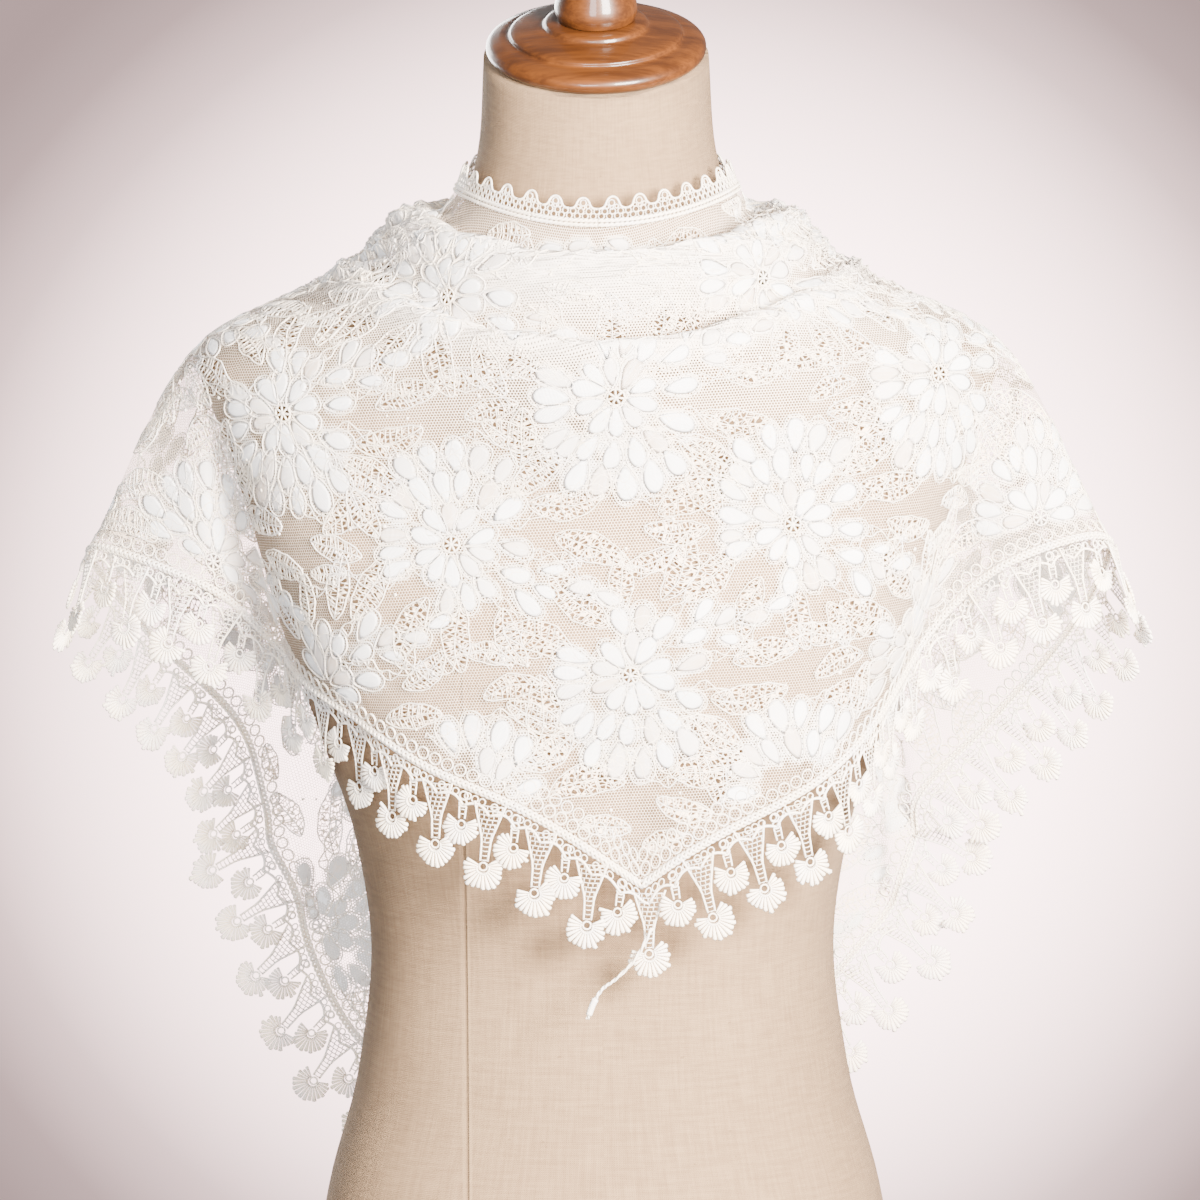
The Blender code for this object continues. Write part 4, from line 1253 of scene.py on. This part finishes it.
# A loose thread of two strands, wrapped near its end, that hangs off the border just left of the point
def makeThread():
    points = smoothRows(np.array(looseThread["knots"]), np.linspace(0, 5, 41))
    points = clearOfForm(points, looseThread["gap"])
    strand, facing, batches = tubeShape(41, 6), np.broadcast_to((0.0, -1.0, 0.0), (1, 41, 3)), []
    for turn in (0, math.pi):
        phase = np.linspace(0, 12 * math.pi, 41)[:, None] + turn
        twisted = points + 0.0005 * np.concatenate((np.cos(phase), np.sin(phase), 0 * phase), 1)
        batches.append(follow(strand, (twisted[None], facing), "looseStrand"))
    wrapped = points[None, slice(*looseThread["wrapped"])]
    batches.append(follow(tubeShape(9, 8), (wrapped, facing[:, :9]), "looseWrap"))
    return newPiece("lace_loose_thread", batches, laceThread)


lacePieces.append(makeThread())

linenLook = {
    "light": colour(150, 124, 95),
    "dark": colour(123, 99, 75),
    "paintedSideShade": 0.3,                 # painted shade: how much darker the sides are painted, standing in for the light falling off round the form
    "thread": 0.0009,             # distance between threads of the weave
}


# Plain weave: two sets of thick and thin threads, slubs along the weft, soft creases and the seams, with
# painted shade darkening the sides and a painted highlight along the ridge beside each seam
def linenFinish():
    look = Finish("linenForm")
    x, y, _ = look.parts(look.place())
    around = look.layout("around")
    u, v, _ = look.parts(around)
    wander = look.noise(look.place(), 45, 2)
    rate = 2 * math.pi / linenLook["thread"]
    warp = look.math("SINE", u * rate + wander * 9.0)
    weft = look.math("SINE", v * rate + wander * 7.0)
    weave = warp * weft * 0.5 + weft * 0.25
    slub = look.noise(look.stretch(around, (45.0, 480.0, 1.0)), 1.0, 3, 0.6)
    fleck = look.noise(look.stretch(around, (480.0, 40.0, 1.0)), 1.0, 3, 0.6)
    shade = slub * 0.38 + (fleck * 0.38 + look.noise(look.place(), 9, 3) * 0.24)
    shade = look.step(shade, 0.3, 0.72) + weave * 0.10
    front = y < 0.0
    princess = abs(x - dressForm["seam"]) + (1.0 - front)
    seam = look.math("MINIMUM", look.math("MINIMUM", princess, abs(y - 0.002)), abs(x) + front)
    groove = 1.0 - look.step(seam, 0.0002, 0.0011)
    # Painted highlight: a lighter line along the raised ridge beside each seam, where it would catch the
    # light
    seamRidgeHighlight = look.step(seam, 0.0009, 0.0014) * (1.0 - look.step(seam, 0.0020, 0.0028))
    # Painted shade: the sides of the form are painted darker, as the light falls off there
    sideways = abs(look.math("SINE", u * (2 * math.pi / dressForm["around"])))
    knot = look.noise(look.stretch(around, (160.0, 320.0, 1.0)), 1.0, 1)
    base = look.blend(shade, linenLook["dark"], linenLook["light"])
    for share, tint in (
        (look.math("POWER", sideways, 3.0) * linenLook["paintedSideShade"], (40, 30, 22)),
        (look.step(knot, 0.74, 0.80) * 0.4, (84, 66, 48)),
        (seamRidgeHighlight * 0.5, (158, 131, 100)),
        (groove * 0.4, (90, 70, 50)),
    ):
        base = look.blend(share, base, colour(*tint))
    soft = look.bump(look.noise(look.place((1, 1, 2.5)), 11, 3, 0.55), 0.004, 0.35)
    cut = look.bump(0.0 - groove, 0.0008, 0.8, Normal=soft)
    look.give(Base_Color=base, Normal=look.bump(weave + (slub + fleck), 0.00022, 0.8, Normal=cut),
              Roughness=shade * 0.1 + 0.85, Specular_IOR_Level=0.15, Sheen_Weight=0.03)
    return look.made


def makeTorso():
    sides, rings = dressForm["sides"], 17 * dressForm["ringsPerSection"] + 1
    mesh, places = tubeShape(rings, sides)
    ring, angle = np.round(places[:, 2]).astype(int), np.arctan2(places[:, 1], places[:, 0])
    rows = smoothRows(numbers(dressForm["sections"]), np.arange(rings) / dressForm["ringsPerSection"])
    height, halfWidth, front, back, power = rows[ring].T
    cos, sin = np.cos(angle), np.sin(angle)
    x = halfWidth * np.sign(cos) * abs(cos) ** (2 / power)
    y = np.where(sin < 0, front, back) * np.sign(sin) * abs(sin) ** (2 / power)
    start, top = dressForm["collarStart"], dressForm["neckTop"]
    lean = np.maximum(0, (height - start) / (top - start))
    z = height + y * lean * math.tan(dressForm["neckTilt"])
    mesh = mesh.copy()
    mesh.vertices.foreach_set("co", np.stack((x, y, z), -1).ravel())
    corners = readValues(mesh.loops, "vertex_index", kind=int)
    starts = readValues(mesh.polygons, "loop_start", kind=int)
    turn = (angle[corners] / (2 * math.pi) + 0.25) % 1.0
    lead = np.repeat(turn[starts], np.diff(np.append(starts, len(corners))))
    turn = turn + (lead - turn > 0.5) - (turn - lead > 0.5)
    around = np.stack((turn * dressForm["around"], height[corners]), -1)
    mesh.uv_layers.new(name="around").data.foreach_set("uv", around.ravel())
    return placePiece("linen_form", mesh, linenFinish())


torso = makeTorso()
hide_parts("form_torso")

woodwork = {
    # distance from the axis, height over the seat, top to bottom
    "cap": ((0.0185, 0.0195), (0.0225, 0.0190), (0.0250, 0.0180), (0.0262, 0.0160), (0.0300, 0.0152),
            (0.0405, 0.0135), (0.0424, 0.0125), (0.0430, 0.0108), (0.0480, 0.0098), (0.0525, 0.0080),
            (0.0542, 0.0055), (0.0538, 0.0025), (0.0515, 0.0003)),
    "finial": ((0.0060, 0.0560), (0.0110, 0.0550), (0.0160, 0.0510), (0.0180, 0.0450), (0.0160, 0.0390),
               (0.0125, 0.0350), (0.0120, 0.0330), (0.0150, 0.0315), (0.0158, 0.0295), (0.0148, 0.0275),
               (0.0150, 0.0220), (0.0175, 0.0150), (0.0200, 0.0080), (0.0203, 0.0040), (0.0190, 0.0000)),
    "seats": (0.0003, 0.0201),
    "sides": 96,
    "stepsPerRow": 6,
    "light": colour(80, 44, 16),
    "dark": colour(52, 27, 10),
}


def woodFinish():
    look = Finish("varnishedWood")
    turned = look.place(turn=(math.radians(-20), 0, 0))
    broad = look.noise(look.stretch(turned, (1.0, 9.0, 9.0)), 14, 4, 0.6)
    fine = look.noise(look.stretch(turned, (6.0, 90.0, 90.0)), 9, 3, 0.6)
    shade = look.step(broad * 0.75 + fine * 0.35, 0.38, 0.72)
    look.give(Base_Color=look.blend(shade, woodwork["dark"], woodwork["light"]),
              Normal=look.bump(fine, 0.0002, 0.25), Roughness=fine * 0.12 + 0.30,
              Specular_IOR_Level=0.25, Coat_Weight=0.3, Coat_Roughness=0.08)
    return look.made


def makeTurned(name, profile, seat, finish):
    rows = np.array(profile)
    steps = woodwork["stepsPerRow"]
    rows = smoothRows(rows, np.arange((len(rows) - 1) * steps + 1) / steps)
    rows = np.concatenate(((0.0, rows[0, 1]), rows.ravel(), (0.0, rows[-1, 1]))).reshape(-1, 2)
    bm = bmesh.new()
    points = [bm.verts.new((radius, 0, height)) for radius, height in rows]
    for first, second in zip(points, points[1:]):
        bm.edges.new((first, second))
    bmesh.ops.spin(bm, geom=bm.verts[:] + bm.edges[:], cent=(0, 0, 0), axis=(0, 0, 1), dvec=(0, 0, 0),
                   angle=2 * math.pi, steps=woodwork["sides"], use_merge=True)
    bmesh.ops.remove_doubles(bm, verts=bm.verts[:], dist=1e-6)
    bmesh.ops.recalc_face_normals(bm, faces=bm.faces[:])
    tilt = dressForm["neckTilt"]
    lift = Matrix.Translation((0, -math.sin(tilt) * seat, dressForm["neckTop"] + math.cos(tilt) * seat))
    bmesh.ops.transform(bm, matrix=lift @ Matrix.Rotation(tilt, 4, "X"), verts=bm.verts[:])
    mesh = bpy.data.meshes.new(name)
    bm.to_mesh(mesh)
    bm.free()
    return placePiece(name, mesh, finish)


varnishedWood = woodFinish()
cap = makeTurned("turned_cap", woodwork["cap"], woodwork["seats"][0], varnishedWood)
finial = makeTurned("turned_finial", woodwork["finial"], woodwork["seats"][1], varnishedWood)
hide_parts("neck_cap")
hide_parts("neck_finial")

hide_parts("veil_front", "veil_left_wing", "veil_right_wing", "veil_left_back", "veil_right_back")
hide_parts("border_front_left", "border_front_right", "border_back_left", "border_back_right")
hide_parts("neck_edging")
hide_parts("back_edging_left", "back_edging_right")

studio = {
    "target": (0.0, 0.0, 0.42),
    "distance": 2.6,
    "elevation": math.radians(8),
    "roll": math.radians(-0.4),
    "lens": 156,
    "floorFade": (0.18, 0.50),
    # place, power, size, colour
    "keyLight": ((0.72, -1.30, 0.82), 310.0, 0.6, (1.0, 0.91, 0.82)),
    "fillLight": ((-0.35, -2.6, 0.5), 100.0, 0.8, (0.93, 0.95, 1.0)),
    "backLight": ((-1.0, 1.9, 0.9), 150.0, 1.5, (1.0, 0.95, 0.93)),
    "ambient": 0.33,
    # distance from the backdrop's middle as a share of the view, brightness
    "backdrop": ((0.080, 9.0), (0.108, 5.0), (0.123, 2.9), (0.133, 1.75), (0.148, 0.87), (0.162, 0.62),
                 (0.25, 0.8), (0.5, 2.6)),
    "backdropTint": (1.0, 0.70, 0.69, 1),
    "ambientTint": (0.92, 0.96, 1.0, 1),
    "floor": colour(134, 125, 122),
}


def makeFloor():
    bm = bmesh.new()
    bmesh.ops.create_circle(bm, segments=96, radius=0.6, cap_ends=True)
    bmesh.ops.inset_region(bm, faces=bm.faces[:], thickness=0.2)
    mesh = bpy.data.meshes.new("studio_floor")
    bm.to_mesh(mesh)
    bm.free()
    look = Finish("paleFloor")
    far = look.node("ShaderNodeVectorMath", {"operation": "LENGTH"}, "Value", _0=look.place())
    look.give(Alpha=1.0 - look.step(far, *studio["floorFade"]), Base_Color=studio["floor"], Roughness=0.9)
    mesh.materials.append(look.made)
    floor = bpy.data.objects.new("studio_floor", mesh)
    bpy.context.scene.collection.objects.link(floor)


# A pale backdrop that darkens away from its middle, seen by the camera, and plain soft light for all else
def makeWorld():
    sky = Finish("studio", bpy.data.worlds)
    bpy.context.scene.world = sky.made
    sky.tree.nodes.clear()
    ahead, below = (part(studio["elevation"]) for part in (math.cos, math.sin))
    middle = Vector((0.0078, ahead, -below - 0.0080)).normalized()
    away = sky.node("ShaderNodeVectorMath", {"operation": "DISTANCE"}, "Value", _1=middle,
                    _0=sky.node("ShaderNodeTexCoord", output="Generated"))
    ramp, brightest = sky.node("ShaderNodeValToRGB", _0=away), studio["backdrop"][0][1]
    stops = ramp.socket.node.color_ramp.elements
    stops.remove(stops[1])
    for k, (place, level) in enumerate(studio["backdrop"]):
        stop = stops[0] if k == 0 else stops.new(place)
        stop.position = place
        stop.color = (level / brightest, level / brightest, level / brightest, 1)
    shown = sky.node("ShaderNodeBackground", Color=studio["backdropTint"], Strength=ramp * brightest)
    soft = sky.node("ShaderNodeBackground", Color=studio["ambientTint"], Strength=studio["ambient"])
    toCamera = sky.node("ShaderNodeLightPath", output="Is Camera Ray")
    mixed = sky.node("ShaderNodeMixShader", _0=toCamera, _1=soft, _2=shown)
    sky.put(sky.tree.nodes.new("ShaderNodeOutputWorld").inputs["Surface"], mixed)


def makeLight(name, place, power, size, tint):
    light = bpy.data.lights.new(name, "AREA")
    light.energy, light.size, light.color = power, size, tint
    made = bpy.data.objects.new(name, light)
    made.location = place
    made.rotation_euler = (Vector(studio["target"]) - Vector(place)).to_track_quat("-Z", "Y").to_euler()
    bpy.context.scene.collection.objects.link(made)


def makeCamera():
    lens = bpy.data.cameras.new("camera")
    lens.lens, lens.sensor_width = studio["lens"], 36
    camera = bpy.data.objects.new("camera", lens)
    reach, lift = (studio["distance"] * part(studio["elevation"]) for part in (math.cos, math.sin))
    place = Vector(studio["target"]) + Vector((0, -reach, lift))
    tip = Matrix.Rotation(math.pi / 2 - studio["elevation"], 4, "X")
    camera.matrix_world = Matrix.Translation(place) @ (tip @ Matrix.Rotation(studio["roll"], 4, "Z"))
    bpy.context.scene.collection.objects.link(camera)
    bpy.context.scene.camera = camera


makeFloor()
makeWorld()
for name in ("keyLight", "fillLight", "backLight"):
    makeLight(name, *studio[name])
makeCamera()
